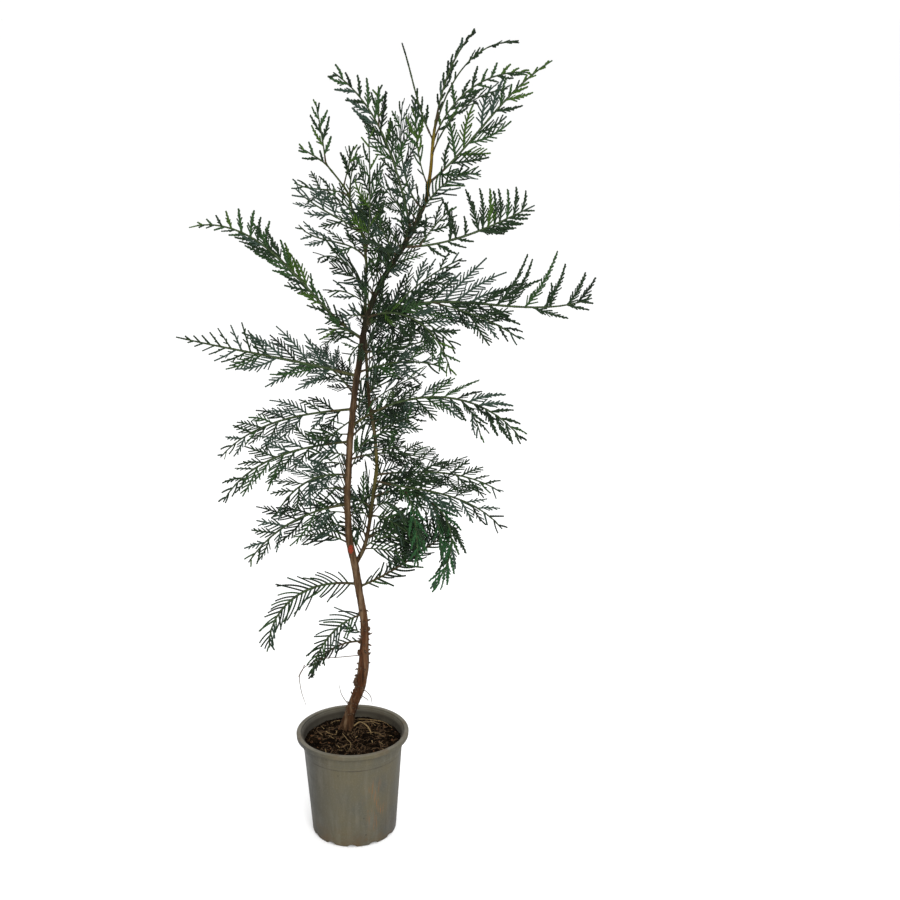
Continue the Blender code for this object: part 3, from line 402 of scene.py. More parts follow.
class Recipe:
    """Builds one node material, a step at a time, on Object coordinates."""

    def __init__(self, name: str, gloss: float) -> None:
        """Starts a material with a Principled shader.

        Args:
            name: the material's name.
            gloss: the shader's specular level.
        """
        self.material = bpy.data.materials.new(name)
        self.material.use_nodes = True
        self.tree = self.material.node_tree
        self.shader = self.tree.nodes["Principled BSDF"]
        self.set(Specular_IOR_Level=gloss)
        self.place = self.node("TexCoord", "Object")
        self.base: NodeSocket | None = None

    def set(self, **values: float | Colour) -> None:
        """Sets the shader's own sockets, named with underscores for spaces."""
        for name, value in values.items():
            self.shader.inputs[name.replace("_", " ")].default_value = value

    def node(self, kind: str, outlet: str | int, inputs: dict | None = None, **settings: str) -> NodeSocket:
        """Adds a node.

        Args:
            kind: the node's type, without the prefix that all of them share.
            outlet: the output that is read.
            inputs: a socket, a number or a linear colour for each input.
            settings: the node's own settings.

        Returns:
            The output's socket.
        """
        node = self.tree.nodes.new("ShaderNode" + kind)
        for name, value in settings.items():
            setattr(node, name, value)
        for name, value in (inputs or {}).items():
            socket = node.inputs[name]
            if isinstance(value, NodeSocket):
                self.tree.links.new(value, socket)
            else:
                socket.default_value = (*value, 1.0) if socket.type == "RGBA" else value
        return node.outputs[outlet]

    def stretched(self, stretch: Point, move: Point = (0.0, 0.0, 0.0)) -> NodeSocket:
        """Object coordinates, scaled along each axis and moved."""
        return self.node("Mapping", "Vector", {"Vector": self.place, "Scale": stretch, "Location": move})

    def noise(self, scale: float, detail: float, roughness: float = 0.55, stretch: Point | None = None,
              move: Point = (0.0, 0.0, 0.0)) -> NodeSocket:
        """A noise texture's factor.

        Args:
            scale: cycles per metre, near enough.
            detail: number of finer octaves.
            roughness: strength of the finer octaves.
            stretch: further scale along each axis, or nothing.
            move: shift of the stretched pattern.

        Returns:
            The factor's socket.
        """
        place = self.stretched(stretch, move) if stretch else self.place
        values = {"Vector": place, "Scale": scale, "Detail": detail, "Roughness": roughness}
        return self.node("TexNoise", "Fac", values)

    def cells(self, scale: float) -> NodeSocket:
        """Distance to the nearest point of a scattered cell pattern, zero at each point."""
        return self.node("TexVoronoi", "Distance", {"Vector": self.place, "Scale": scale})

    def part(self, axis: str) -> NodeSocket:
        """One of the Object coordinates, in metres."""
        return self.node("SeparateXYZ", axis, {"Vector": self.place})

    def normal(self) -> NodeSocket:
        """The surface's normal."""
        return self.node("NewGeometry", "Normal")

    def between(self, value: NodeSocket, low: float, high: float, bottom: float = 0.0,
                top: float = 1.0) -> NodeSocket:
        """A value mapped from one range, low to high, to another, bottom to top, and clamped."""
        limits = {"From Min": low, "From Max": high, "To Min": bottom, "To Max": top}
        return self.node("MapRange", "Result", {**limits, "Value": value})

    def maths(self, kind: str, first: NodeSocket, second: NodeSocket | float) -> NodeSocket:
        """Two values joined by a kind of Math node."""
        return self.node("Math", 0, {0: first, 1: second}, operation=kind)

    def times(self, first: NodeSocket, second: NodeSocket | float) -> NodeSocket:
        """The product of two values."""
        return self.maths("MULTIPLY", first, second)

    def ramp(self, value: NodeSocket, stops: tuple[tuple[float, Colour], ...]) -> None:
        """Makes the base colour from a value.

        Args:
            value: the socket that is read.
            stops: position and linear colour of each stop, in order.
        """
        self.base = self.node("ValToRGB", "Color", {"Fac": value})
        marks = self.base.node.color_ramp.elements
        while len(marks) < len(stops):
            marks.new(1.0)
        for mark, (position, colour) in zip(marks, stops):
            mark.position = position
            mark.color = (*colour, 1.0)

    def coat(self, share: NodeSocket, colour: Colour, under: Colour | None = None) -> None:
        """Lays a linear colour over the base colour, or over a plain one, by a share from 0 to 1."""
        self.base = self.node("Mix", 2, {0: share, 6: under or self.base, 7: colour}, data_type="RGBA")

    def bump(self, height: NodeSocket, distance: float, strength: float) -> None:
        """Adds relief to the shader's normal.

        Args:
            height: socket from 0, low, to 1, high.
            distance: height of the relief in metres.
            strength: share of the effect.
        """
        relief = {"Height": height, "Distance": distance, "Strength": strength}
        normal = self.shader.inputs["Normal"]
        if normal.is_linked:
            relief["Normal"] = normal.links[0].from_socket
        self.tree.links.new(self.node("Bump", "Normal", relief), normal)

    def done(self, roughness: NodeSocket) -> Material:
        """Links the base colour and a roughness to the shader.

        Args:
            roughness: its socket.

        Returns:
            The finished material.
        """
        self.tree.links.new(self.base, self.shader.inputs["Base Color"])
        self.tree.links.new(roughness, self.shader.inputs["Roughness"])
        return self.material


@dataclass(frozen=True)
class LeafFinish:
    """Scale leaves of one green or brown, a little darker and paler from scale to scale."""

    name: str
    colour: Colour
    darker: float = 0.62
    paler: float = 1.45
    grain: float = 620.0
    relief: float = 2.2
    roughness: float = 0.52
    gloss: float = 0.08

    def make(self) -> Material:
        """Makes the material.

        Returns:
            The finished material.
        """
        recipe = Recipe(self.name, self.gloss)
        dark, pale = (tuple(part * share for part in self.colour) for share in (self.darker, self.paler))
        speckle = recipe.noise(self.grain, 2.0)
        recipe.ramp(speckle, ((0.34, dark), (0.5, self.colour), (0.68, pale)))
        recipe.bump(recipe.noise(self.grain * self.relief, 2.0), 0.0003, 0.6)
        return recipe.done(recipe.between(speckle, 0.3, 0.7, self.roughness + 0.1, self.roughness - 0.08))


@dataclass(frozen=True)
class BarkFinish:
    """Thin fibrous bark, whose colours change with height and whose dust lies on the older wood."""

    name: str
    heights: tuple[float, ...]
    colours: tuple[Colour, ...]
    fissure: Colour = (0.012, 0.007, 0.004)
    dust: Colour = (0.138, 0.09, 0.052)
    wobble: float = 0.022
    old_below: Pair = (0.62, 0.7)
    gloss: float = 0.06

    def make(self) -> Material:
        """Makes the material.

        Returns:
            The finished material.
        """
        recipe = Recipe(self.name, self.gloss)
        low, high = self.heights[0], self.heights[-1]
        wobble = recipe.between(recipe.noise(45.0, 2.0), 0.0, 1.0, -self.wobble, self.wobble)
        height = recipe.between(recipe.maths("ADD", recipe.part("Z"), wobble), low, high)
        places = ((z - low) / (high - low) for z in self.heights)
        recipe.ramp(height, tuple(zip(places, self.colours)))
        fibres = recipe.noise(1.0, 5.0, 0.68, (900.0, 900.0, 85.0))
        flakes = recipe.noise(1.0, 4.0, 0.6, (260.0, 260.0, 30.0))
        strips = recipe.noise(1.0, 3.0, 0.55, (150.0, 150.0, 15.0), (3.0, 7.0, 1.0))
        old = recipe.between(recipe.part("Z"), *self.old_below, 1.0, 0.12)
        for pattern, start, end, most in ((strips, 0.5, 0.64, 0.65), (flakes, 0.54, 0.68, 0.6)):
            recipe.coat(recipe.times(recipe.between(pattern, start, end, 0.0, most), old), self.dust)
        for pattern, start, end, most in (
            (strips, 0.46, 0.34, 0.7), (flakes, 0.48, 0.34, 0.8), (fibres, 0.48, 0.3, 0.85),
        ):
            recipe.coat(recipe.between(pattern, start, end, 0.0, most), self.fissure)
        recipe.bump(flakes, 0.0009, 0.8)
        recipe.bump(fibres, 0.0006, 0.9)
        return recipe.done(recipe.between(fibres, 0.3, 0.7, 0.95, 0.7))


@dataclass(frozen=True)
class WoodFinish:
    """Bare wood, fibre or straw with a grain."""

    name: str
    dark: Colour
    pale: Colour
    grain: float = 700.0
    roughness: float = 0.75
    gloss: float = 0.1

    def make(self) -> Material:
        """Makes the material.

        Returns:
            The finished material.
        """
        recipe = Recipe(self.name, self.gloss)
        grain = recipe.noise(self.grain, 4.0, 0.65)
        recipe.ramp(grain, ((0.35, self.dark), (0.65, self.pale)))
        recipe.bump(grain, 0.0004, 0.8)
        return recipe.done(recipe.between(grain, 0.3, 0.7, self.roughness + 0.12, self.roughness - 0.1))


@dataclass(frozen=True)
class PeatFinish:
    """Moist dark peat with brown fibre and tan specks."""

    name: str
    wet: Colour = (0.001, 0.0006, 0.0004)
    peat: Colour = (0.0042, 0.0026, 0.0014)
    fibre: Colour = (0.022, 0.0125, 0.006)
    speck: Colour = (0.08, 0.044, 0.02)
    gloss: float = 0.02

    def make(self) -> Material:
        """Makes the material.

        Returns:
            The finished material.
        """
        recipe = Recipe(self.name, self.gloss)
        lumps = recipe.noise(160.0, 5.0, 0.7)
        fine = recipe.noise(900.0, 4.0, 0.7)
        recipe.ramp(lumps, ((0.32, self.wet), (0.5, self.peat), (0.7, self.fibre)))
        recipe.coat(recipe.between(fine, 0.6, 0.72, 0.0, 0.7), self.fibre)
        recipe.coat(recipe.between(recipe.cells(420.0), 0.16, 0.08, 0.0, 0.8), self.speck)
        recipe.bump(lumps, 0.0022, 0.9)
        recipe.bump(fine, 0.0008, 0.9)
        return recipe.done(recipe.between(lumps, 0.3, 0.7, 0.62, 0.98))


@dataclass(frozen=True)
class PotPlastic:
    """Dull taupe plastic: dust and a painted highlight on top, soil splashes, scuffs, a few dark specks, and
    painted shade.
    """

    name: str
    body: Colour = (0.077, 0.067, 0.04)
    cool: Colour = (0.063, 0.06, 0.044)
    # painted shade, laid down the left edge and low on the right side
    shaded: Colour = (0.026, 0.027, 0.027)
    # dust colour, also used for the painted highlight on faces turned up
    dust: Colour = (0.126, 0.115, 0.09)
    soil: Colour = (0.072, 0.046, 0.022)
    rust: Colour = (0.15, 0.066, 0.024)
    # dark specks; the same colour paints the shadow under the rim, the line below the collar and the shade
    # inside the rim
    speck: Colour = (0.028, 0.024, 0.018)
    scuff_place: Point = (0.031, -0.052, 0.06)
    scuff_reach: Point = (0.017, 0.024, 0.042)
    groove: float = 0.1142
    gloss: float = 0.12

    def make(self) -> Material:
        """Makes the material.

        Returns:
            The finished material.
        """
        recipe = Recipe(self.name, self.gloss)
        height = recipe.part("Z")
        clouds = recipe.noise(26.0, 4.0, 0.6)
        runs = recipe.noise(1.0, 4.0, 0.6, (120.0, 120.0, 13.0))
        grain = recipe.noise(520.0, 3.0, 0.6)
        recipe.coat(recipe.between(clouds, 0.36, 0.64), self.cool, self.body)
        # Painted shade: darker down the pot's left edge and low on its right side
        side = recipe.maths("ADD", recipe.part("X"), recipe.between(clouds, 0.3, 0.7, -0.008, 0.008))
        recipe.coat(recipe.between(side, -0.022, -0.06, 0.0, 0.85), self.shaded)
        low_right = recipe.times(recipe.between(side, 0.03, 0.06), recipe.between(height, 0.09, 0.03, 0.4))
        recipe.coat(recipe.times(low_right, 0.75), self.shaded)
        recipe.coat(recipe.between(runs, 0.5, 0.74, 0.0, 0.3), self.dust)
        recipe.coat(recipe.between(grain, 0.52, 0.75, 0.0, 0.28), self.dust)
        # Dust and a painted highlight on faces turned up, strongest on the rim's top
        up = recipe.between(recipe.node("SeparateXYZ", "Z", {"Vector": recipe.normal()}), 0.25, 0.9)
        recipe.coat(recipe.times(up, recipe.between(clouds, 0.3, 0.6, 0.35, 0.9)), self.dust)
        splash = recipe.between(recipe.noise(70.0, 5.0, 0.7), 0.4, 0.66)
        recipe.coat(recipe.times(splash, recipe.between(height, 0.036, 0.004, 0.0, 0.75)), self.soil)
        stain = recipe.between(recipe.noise(48.0, 4.0, 0.65), 0.52, 0.7)
        recipe.coat(recipe.times(stain, recipe.between(height, 0.13, 0.137, 0.0, 0.62)), self.soil)
        recipe.coat(recipe.times(self.scuffs(recipe), 0.9), self.rust)
        # Painted shadow under the rim and a dark line below the collar, in the speck colour
        recipe.coat(recipe.times(self.rim_shadow_and_groove_line(recipe, height), 0.75), self.speck)
        # Painted shade and grime on the wall inside the rim, in the speck colour
        recipe.coat(self.inside(recipe, height, stain), self.speck)
        specks = recipe.between(recipe.cells(64.0), 0.085, 0.045)
        sparse = recipe.between(recipe.noise(17.0, 1.0), 0.56, 0.62)
        recipe.coat(recipe.times(recipe.times(specks, sparse), 0.85), self.speck)
        recipe.bump(grain, 0.00018, 0.6)
        recipe.bump(runs, 0.0004, 0.35)
        return recipe.done(recipe.between(clouds, 0.3, 0.7, 0.62, 0.46))

    def rim_shadow_and_groove_line(self, recipe: Recipe, height: NodeSocket) -> NodeSocket:
        """A darker broken line in the groove below the collar, and painted shadow in the corner under the
        rim.

        Args:
            recipe: the material under way.
            height: the socket of the height.

        Returns:
            The share of the dark line and of the painted shadow.
        """
        off = recipe.maths("ABSOLUTE", recipe.maths("SUBTRACT", height, self.groove), 0.0)
        broken = recipe.between(recipe.noise(60.0, 3.0), 0.38, 0.62, 0.25, 1.0)
        groove = recipe.times(recipe.between(off, 0.0011, 0.0003), broken)
        corner = recipe.times(recipe.between(height, 0.129, 0.1325), recipe.between(height, 0.135, 0.1335))
        return recipe.maths("MAXIMUM", groove, recipe.times(corner, 0.8))

    def inside(self, recipe: Recipe, height: NodeSocket, stain: NodeSocket) -> NodeSocket:
        """Painted shade on the wall inside the rim, stronger further down, with cloudy soil and grime low on
        it.

        Args:
            recipe: the material under way.
            height: the socket of the height.
            stain: the socket of the grime's cloudy edge.

        Returns:
            The share of painted shade and grime.
        """
        level = {0: recipe.stretched((1.0, 1.0, 0.0)), 1: recipe.normal()}
        outward = recipe.node("VectorMath", "Value", level, operation="DOT_PRODUCT")
        within = recipe.times(recipe.between(outward, -0.008, -0.03), recipe.between(height, 0.118, 0.12))
        # Painted shade, stronger further down the inside wall
        deep = recipe.between(height, 0.1392, 0.1345, 0.15, 0.66)
        low = recipe.times(recipe.between(height, 0.1345, 0.1295, 0.0, 0.35), recipe.between(stain, 0.0, 0.6))
        return recipe.times(within, recipe.maths("ADD", deep, low))

    def scuffs(self, recipe: Recipe) -> NodeSocket:
        """Upright rusty scratches on one stretch of the wall.

        Args:
            recipe: the material under way.

        Returns:
            The share of rust.
        """
        stretch = tuple(1.0 / reach for reach in self.scuff_reach)
        move = tuple(-place / reach for place, reach in zip(self.scuff_place, self.scuff_reach))
        off = recipe.node("VectorMath", "Value", {0: recipe.stretched(stretch, move)}, operation="LENGTH")
        lines = recipe.noise(1.0, 3.0, 0.6, (420.0, 420.0, 16.0))
        return recipe.times(recipe.between(off, 1.1, 0.35), recipe.between(lines, 0.55, 0.66))


Finish = LeafFinish | BarkFinish | WoodFinish | PeatFinish | PotPlastic
LEAVES = {
    DEEP: LeafFinish("deep_green_leaf", (0.0058, 0.0114, 0.0054)),
    DARK: LeafFinish("dark_green_leaf", (0.0112, 0.0228, 0.0094)),
    MID: LeafFinish("mid_green_leaf", (0.0194, 0.045, 0.0138)),
    SILVER: LeafFinish("blue_grey_leaf", (0.024, 0.041, 0.0295)),
    BRIGHT: LeafFinish("yellow_green_leaf", (0.03, 0.062, 0.0098)),
    DRY: LeafFinish("dry_leaf", (0.033, 0.029, 0.026), roughness=0.75),
    FRESH: LeafFinish("fresh_green_leaf", (0.014, 0.049, 0.016)),
}
TRUNK_BARK = BarkFinish(
    "trunk_bark",
    (0.125, 0.19, 0.25, 0.34, 0.52, 0.64, 0.7, 0.82, 0.84, 0.88, 0.92),
    (
        (0.046, 0.023, 0.01), (0.058, 0.021, 0.008), (0.062, 0.023, 0.009), (0.052, 0.028, 0.013),
        (0.05, 0.028, 0.013), (0.018, 0.012, 0.007), (0.009, 0.012, 0.006), (0.007, 0.013, 0.006),
        (0.13, 0.08, 0.008), (0.14, 0.095, 0.01), (0.045, 0.055, 0.012),
    ),
)
SECOND_BARK = BarkFinish(
    "second_stem_bark",
    (0.36, 0.4, 0.45, 0.49, 0.56, 0.64, 0.72, 0.87),
    (
        (0.046, 0.027, 0.013), (0.036, 0.021, 0.01), (0.042, 0.038, 0.011), (0.066, 0.06, 0.013),
        (0.03, 0.02, 0.01), (0.024, 0.02, 0.01), (0.036, 0.046, 0.012), (0.028, 0.044, 0.012),
    ),
    dust=(0.085, 0.07, 0.036),
)
BOUGH_BARK = BarkFinish(
    "bough_bark",
    (0.32, 0.5, 0.7, 0.76),
    ((0.044, 0.037, 0.016), (0.04, 0.043, 0.017), (0.045, 0.05, 0.018), (0.043, 0.053, 0.018)),
    dust=(0.085, 0.086, 0.04),
)
AXIS_GREEN = LeafFinish("frond_axis_green", (0.031, 0.046, 0.018), grain=300.0, roughness=0.6)
AXIS_BROWN = WoodFinish("frond_axis_brown", (0.02, 0.015, 0.009), (0.052, 0.04, 0.019))
STUB_WOOD = WoodFinish("dead_stub_wood", (0.03, 0.017, 0.01), (0.085, 0.05, 0.028))
CUT_WOOD = WoodFinish("pruned_wood", (0.07, 0.011, 0.006), (0.21, 0.032, 0.012))
STRAW = WoodFinish("dry_straw", (0.062, 0.04, 0.018), (0.24, 0.165, 0.075))
FIBRE = WoodFinish("peat_fibre", (0.03, 0.017, 0.009), (0.11, 0.068, 0.034))
CHIP = WoodFinish("bark_chip", (0.022, 0.011, 0.005), (0.105, 0.048, 0.02))
PEAT = PeatFinish("potting_peat")
POT_PLASTIC = PotPlastic("taupe_pot_plastic")

# Mesh helpers


def deselect() -> None:
    """Leaves edit mode and selects nothing."""
    if bpy.context.object and bpy.context.object.mode != "OBJECT":
        bpy.ops.object.mode_set(mode="OBJECT")
    bpy.ops.object.select_all(action="DESELECT")


def activate(piece: Object) -> None:
    """Makes a piece the only selected and active one.

    Args:
        piece: the piece's object.
    """
    deselect()
    piece.select_set(True)
    bpy.context.view_layer.objects.active = piece


def joined(pieces: list[Object]) -> Object:
    """Joins pieces into one.

    Args:
        pieces: the pieces.

    Returns:
        The one that is left.
    """
    activate(pieces[0])
    for piece in pieces:
        piece.select_set(True)
    bpy.ops.object.join()
    return bpy.context.object


def edit_all() -> None:
    """Enters edit mode on the active piece with all of it selected."""
    bpy.ops.object.mode_set(mode="EDIT")
    bpy.ops.mesh.select_all(action="SELECT")


def face_outwards() -> None:
    """Turns all faces of the piece in edit mode outwards, and leaves edit mode."""
    bpy.ops.mesh.select_all(action="SELECT")
    bpy.ops.mesh.normals_make_consistent(inside=False)
    bpy.ops.object.mode_set(mode="OBJECT")


def pull(rise: float, grow: float, height: float) -> None:
    """Extrudes the selected ring upwards to a height and scales it about the upright axis."""
    bpy.ops.mesh.extrude_region_move(TRANSFORM_OT_translate={"value": (0.0, 0.0, rise * MM)})
    bpy.ops.transform.resize(value=(grow, grow, 1.0), center_override=(0.0, 0.0, height * MM))


def mesh_piece(name: str, corners: Array, quads: Array, triangles: Array) -> Object:
    """A mesh object from arrays.

    Args:
        name: the piece's name.
        corners: points in millimetres, one a row.
        quads: corner numbers of the four-sided faces, one face a row.
        triangles: corner numbers of the three-sided faces, one face a row.

    Returns:
        The new object, smoothly shaded.
    """
    mesh = bpy.data.meshes.new(name)
    mesh.vertices.add(len(corners))
    mesh.vertices.foreach_set("co", (corners * MM).astype(np.float32).ravel())
    order = np.concatenate([quads.ravel(), triangles.ravel()]).astype(np.int32)
    mesh.loops.add(len(order))
    mesh.loops.foreach_set("vertex_index", order)
    mesh.polygons.add(len(quads) + len(triangles))
    starts = np.concatenate([np.arange(len(quads)) * 4, quads.size + np.arange(len(triangles)) * 3])
    mesh.polygons.foreach_set("loop_start", starts.astype(np.int32))
    mesh.update(calc_edges=True)
    mesh.validate()
    mesh.shade_smooth()
    piece = bpy.data.objects.new(name, mesh)
    bpy.context.scene.collection.objects.link(piece)
    return piece


def finish_piece(piece: Object, finish: Finish, nodes: tuple[str, ...] = ()) -> None:
    """Dresses a piece, makes it ride on the plant and lets it stand for CAD nodes.

    Args:
        piece: the object.
        finish: its finish, whose material is made once.
        nodes: the CAD nodes that it replaces.
    """
    piece.data.materials.clear()
    piece.data.materials.append(bpy.data.materials.get(finish.name) or finish.make())
    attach(piece, "root")
    if nodes:
        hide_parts(*nodes)
    piece.data.calc_loop_triangles()
    LOG.info("%s: %d triangles", piece.name, len(piece.data.loop_triangles))


def unit(vectors: Array) -> Array:
    """Vectors scaled to length 1."""
    return vectors / np.maximum(np.linalg.norm(vectors, axis=-1, keepdims=True), 1e-9)


def square_to(vectors: Array, axes: Array) -> Array:
    """Unit vectors square to unit axes, each the part of a vector that its axis leaves."""
    return unit(vectors - axes * np.einsum("ij,ij->i", vectors, axes)[:, None])


def turned_about(vectors: Array, axes: Array, angles: Array) -> Array:
    """Vectors turned by angles in radians about unit axes that they stand square to."""
    return vectors * np.cos(angles)[:, None] + np.cross(axes, vectors) * np.sin(angles)[:, None]


def smooth_curve(points: Array, count: int) -> Array:
    """A smooth curve through points.

    Args:
        points: the points, one a row.
        count: how many points the curve gets.

    Returns:
        The curve's points.
    """
    padded = np.vstack([2 * points[0] - points[1], points, 2 * points[-1] - points[-2]])
    made = []
    for place in np.linspace(0.0, len(points) - 1.0, count):
        i = min(int(place), len(points) - 2)
        t = place - i
        a, b, c, d = padded[i : i + 4]
        square, cube = 2 * a - 5 * b + 4 * c - d, 3 * b - a - 3 * c + d
        made.append(0.5 * (2 * b + (c - a) * t + square * t**2 + cube * t**3))
    return np.array(made)


class Strands:
    """Thin tapering strands of any route, gathered into one mesh."""

    def __init__(self) -> None:
        """Starts with no strand."""
        self.routes: list[tuple[Array, Array, float]] = []

    def add(self, points: Array | list, radii: Array | tuple, flatness: float = 1.0, fine: int = 0) -> None:
        """Adds a strand.

        Args:
            points: its route in millimetres.
            radii: its half thickness at even steps along the route.
            flatness: its thickness over its width.
            fine: number of points it is resampled to on a smooth curve, or 0 to keep them.
        """
        route = np.array(points, dtype=float)
        if fine:
            route = smooth_curve(route, fine)
        spread = np.linspace(0.0, 1.0, len(route))
        thickness = np.interp(spread, np.linspace(0.0, 1.0, len(radii)), radii)
        self.routes.append((route, thickness, flatness))

    def piece(self, name: str, sides: int) -> Object:
        """Makes the strands one object.

        Args:
            name: the object's name.
            sides: corners of each strand's section.

        Returns:
            The object, each strand closed at both ends.
        """
        corners, quads, triangles, base = [], [], [], 0
        turn = np.arange(sides) * (math.tau / sides)
        side, after = np.arange(sides), (np.arange(sides) + 1) % sides
        for route, radii, flatness in self.routes:
            along = unit(np.gradient(route, axis=0))
            helper = np.array([0.0, 0.0, 1.0]) if abs(along[0, 2]) < 0.8 else np.array([1.0, 0.0, 0.0])
            across = unit(np.cross(helper, along))
            normal = np.cross(along, across)
            ring = across[:, None, :] * np.cos(turn)[None, :, None]
            ring = ring + normal[:, None, :] * np.sin(turn)[None, :, None] * flatness
            corners.append((route[:, None, :] + ring * radii[:, None, None]).reshape(-1, 3))
            corners.append(route[[0, -1]])
            count = len(route)
            rows = np.arange(count - 1)[:, None] * sides
            quad = np.stack([rows + side, rows + after, rows + sides + after, rows + sides + side], axis=-1)
            quads.append(quad.reshape(-1, 4) + base)
            first, last = np.full(sides, base + count * sides), np.full(sides, base + count * sides + 1)
            end = base + (count - 1) * sides
            triangles.append(np.stack([base + after, base + side, first], axis=1))
            triangles.append(np.stack([end + side, end + after, last], axis=1))
            base += count * sides + 2
        return mesh_piece(name, np.vstack(corners), np.vstack(quads), np.vstack(triangles))


# Stems and boughs


class Route:
    """A stem's centre line and thickness, smooth between its stations."""

    STEP = 1.6
    SMOOTHING = 13

    def __init__(self, stations: tuple[tuple[float, ...], ...]) -> None:
        """Rounds the line between the stations.

        Args:
            stations: height, x, y and thickness, from the ground up.
        """
        self.stations = np.array(stations)
        count = round((self.stations[-1, 0] - self.stations[0, 0]) / self.STEP)
        heights = np.linspace(self.stations[0, 0], self.stations[-1, 0], count)
        columns = [np.interp(heights, self.stations[:, 0], self.stations[:, i]) for i in (1, 2, 3)]
        kernel = np.hanning(self.SMOOTHING)
        kernel /= kernel.sum()
        half = self.SMOOTHING // 2
        padded = [np.concatenate([np.full(half, row[0]), row, np.full(half, row[-1])]) for row in columns]
        x, y, thickness = (np.convolve(row, kernel, mode="valid") for row in padded)
        self.points = np.stack([x, y, heights], axis=1)
        self.radii = thickness / 2.0

    def at(self, height: float) -> Array:
        """The coarse centre line at a height, where the solids' fronds are rooted."""
        x, y = (np.interp(height, self.stations[:, 0], self.stations[:, i]) for i in (1, 2))
        return np.array([x, y, height])

    def radius(self, height: float) -> float:
        """Half the stem's thickness at a height."""
        return float(np.interp(height, self.points[:, 2], self.radii))


@dataclass
class Limb:
    """A tapering limb with bark relief, drawn as a curve and turned into a mesh.

    Each ridge has its cycles a turn and a millimetre of height, the shift of its pattern and its strength.
    """

    name: str
    points: Array
    radii: Array
    sides: int
    relief: float
    swellings: list[tuple[Array, float, float]] = field(default_factory=list)
    flare: float = 0.0
    ridges: tuple[tuple[float, ...], ...] = ((3.4, 0.045, 0.0, 1.3), (7.5, 0.11, 40.0, 0.8))
    flake: Pair = (0.22, 0.7)
    full_relief_radius: float = 4.0
    lobes: tuple[float, float, float] = (0.55, 4.0, 0.6)
    flare_height: float = 6.0

    def draw(self) -> Object:
        """Draws the limb and carves its bark.

        Returns:
            The limb's object, in place.
        """
        deselect()
        bpy.ops.curve.primitive_bezier_curve_add(location=(0.0, 0.0, 0.0))
        limb = bpy.context.object
        limb.name = self.name
        curve = limb.data
        curve.splines.clear()
        curve.dimensions = "3D"
        curve.twist_mode = "MINIMUM"
        curve.bevel_depth = MM
        curve.bevel_resolution = (self.sides - 4) // 2
        spline = curve.splines.new("POLY")
        spline.points.add(len(self.points) - 1)
        knots = np.hstack([self.points * MM, np.ones((len(self.points), 1))])
        spline.points.foreach_set("co", knots.ravel())
        spline.points.foreach_set("radius", self.radii)
        activate(limb)
        bpy.ops.object.convert(target="MESH")
        self.carve(limb.data)
        bpy.ops.object.mode_set(mode="EDIT")
        bpy.ops.mesh.select_all(action="DESELECT")
        bpy.ops.mesh.select_mode(type="EDGE")
        bpy.ops.mesh.select_non_manifold()
        bpy.ops.mesh.edge_face_add()
        face_outwards()
        limb.data.shade_smooth()
        return limb

    def carve(self, mesh: Mesh) -> None:
        """Moves each ring's corners in and out: ridges along the limb, knots, and the root's flare.

        Args:
            mesh: the limb's open tube, ring after ring.
        """
        corners = np.empty(len(mesh.vertices) * 3, dtype=np.float32)
        mesh.vertices.foreach_get("co", corners)
        rings = corners.reshape(len(self.points), -1, 3) / MM
        outward = rings - self.points[:, None, :]
        outward /= np.maximum(np.linalg.norm(outward, axis=2, keepdims=True), 1e-6)
        push = np.zeros(rings.shape[:2])
        scale, strength = self.flake
        for i, ring in enumerate(rings):
            share = min(1.0, self.radii[i] / self.full_relief_radius)
            for j, corner in enumerate(ring):
                x, y, _ = outward[i, j]
                raised = sum(
                    noise.noise(Vector((x * turns, y * turns, self.points[i, 2] * rise + shift))) * gain
                    for turns, rise, shift, gain in self.ridges
                )
                flake = noise.noise(Vector(corner * scale)) * strength
                push[i, j] = (raised + flake) * self.relief * share
        for place, reach, rise in self.swellings:
            near = np.linalg.norm(rings - place, axis=2) / reach
            push += rise * np.exp(-near * near)
        if self.flare:
            depth, count, start = self.lobes
            above = (self.points[:, 2] - self.points[0, 2])[:, None]
            lobes = 1.0 + depth * np.sin(np.arctan2(outward[..., 1], outward[..., 0]) * count + start)
            push += self.flare * lobes * np.exp(-above / self.flare_height)
        rings = rings + outward * push[..., None]
        mesh.vertices.foreach_set("co", (rings * MM).astype(np.float32).ravel())
        mesh.update()


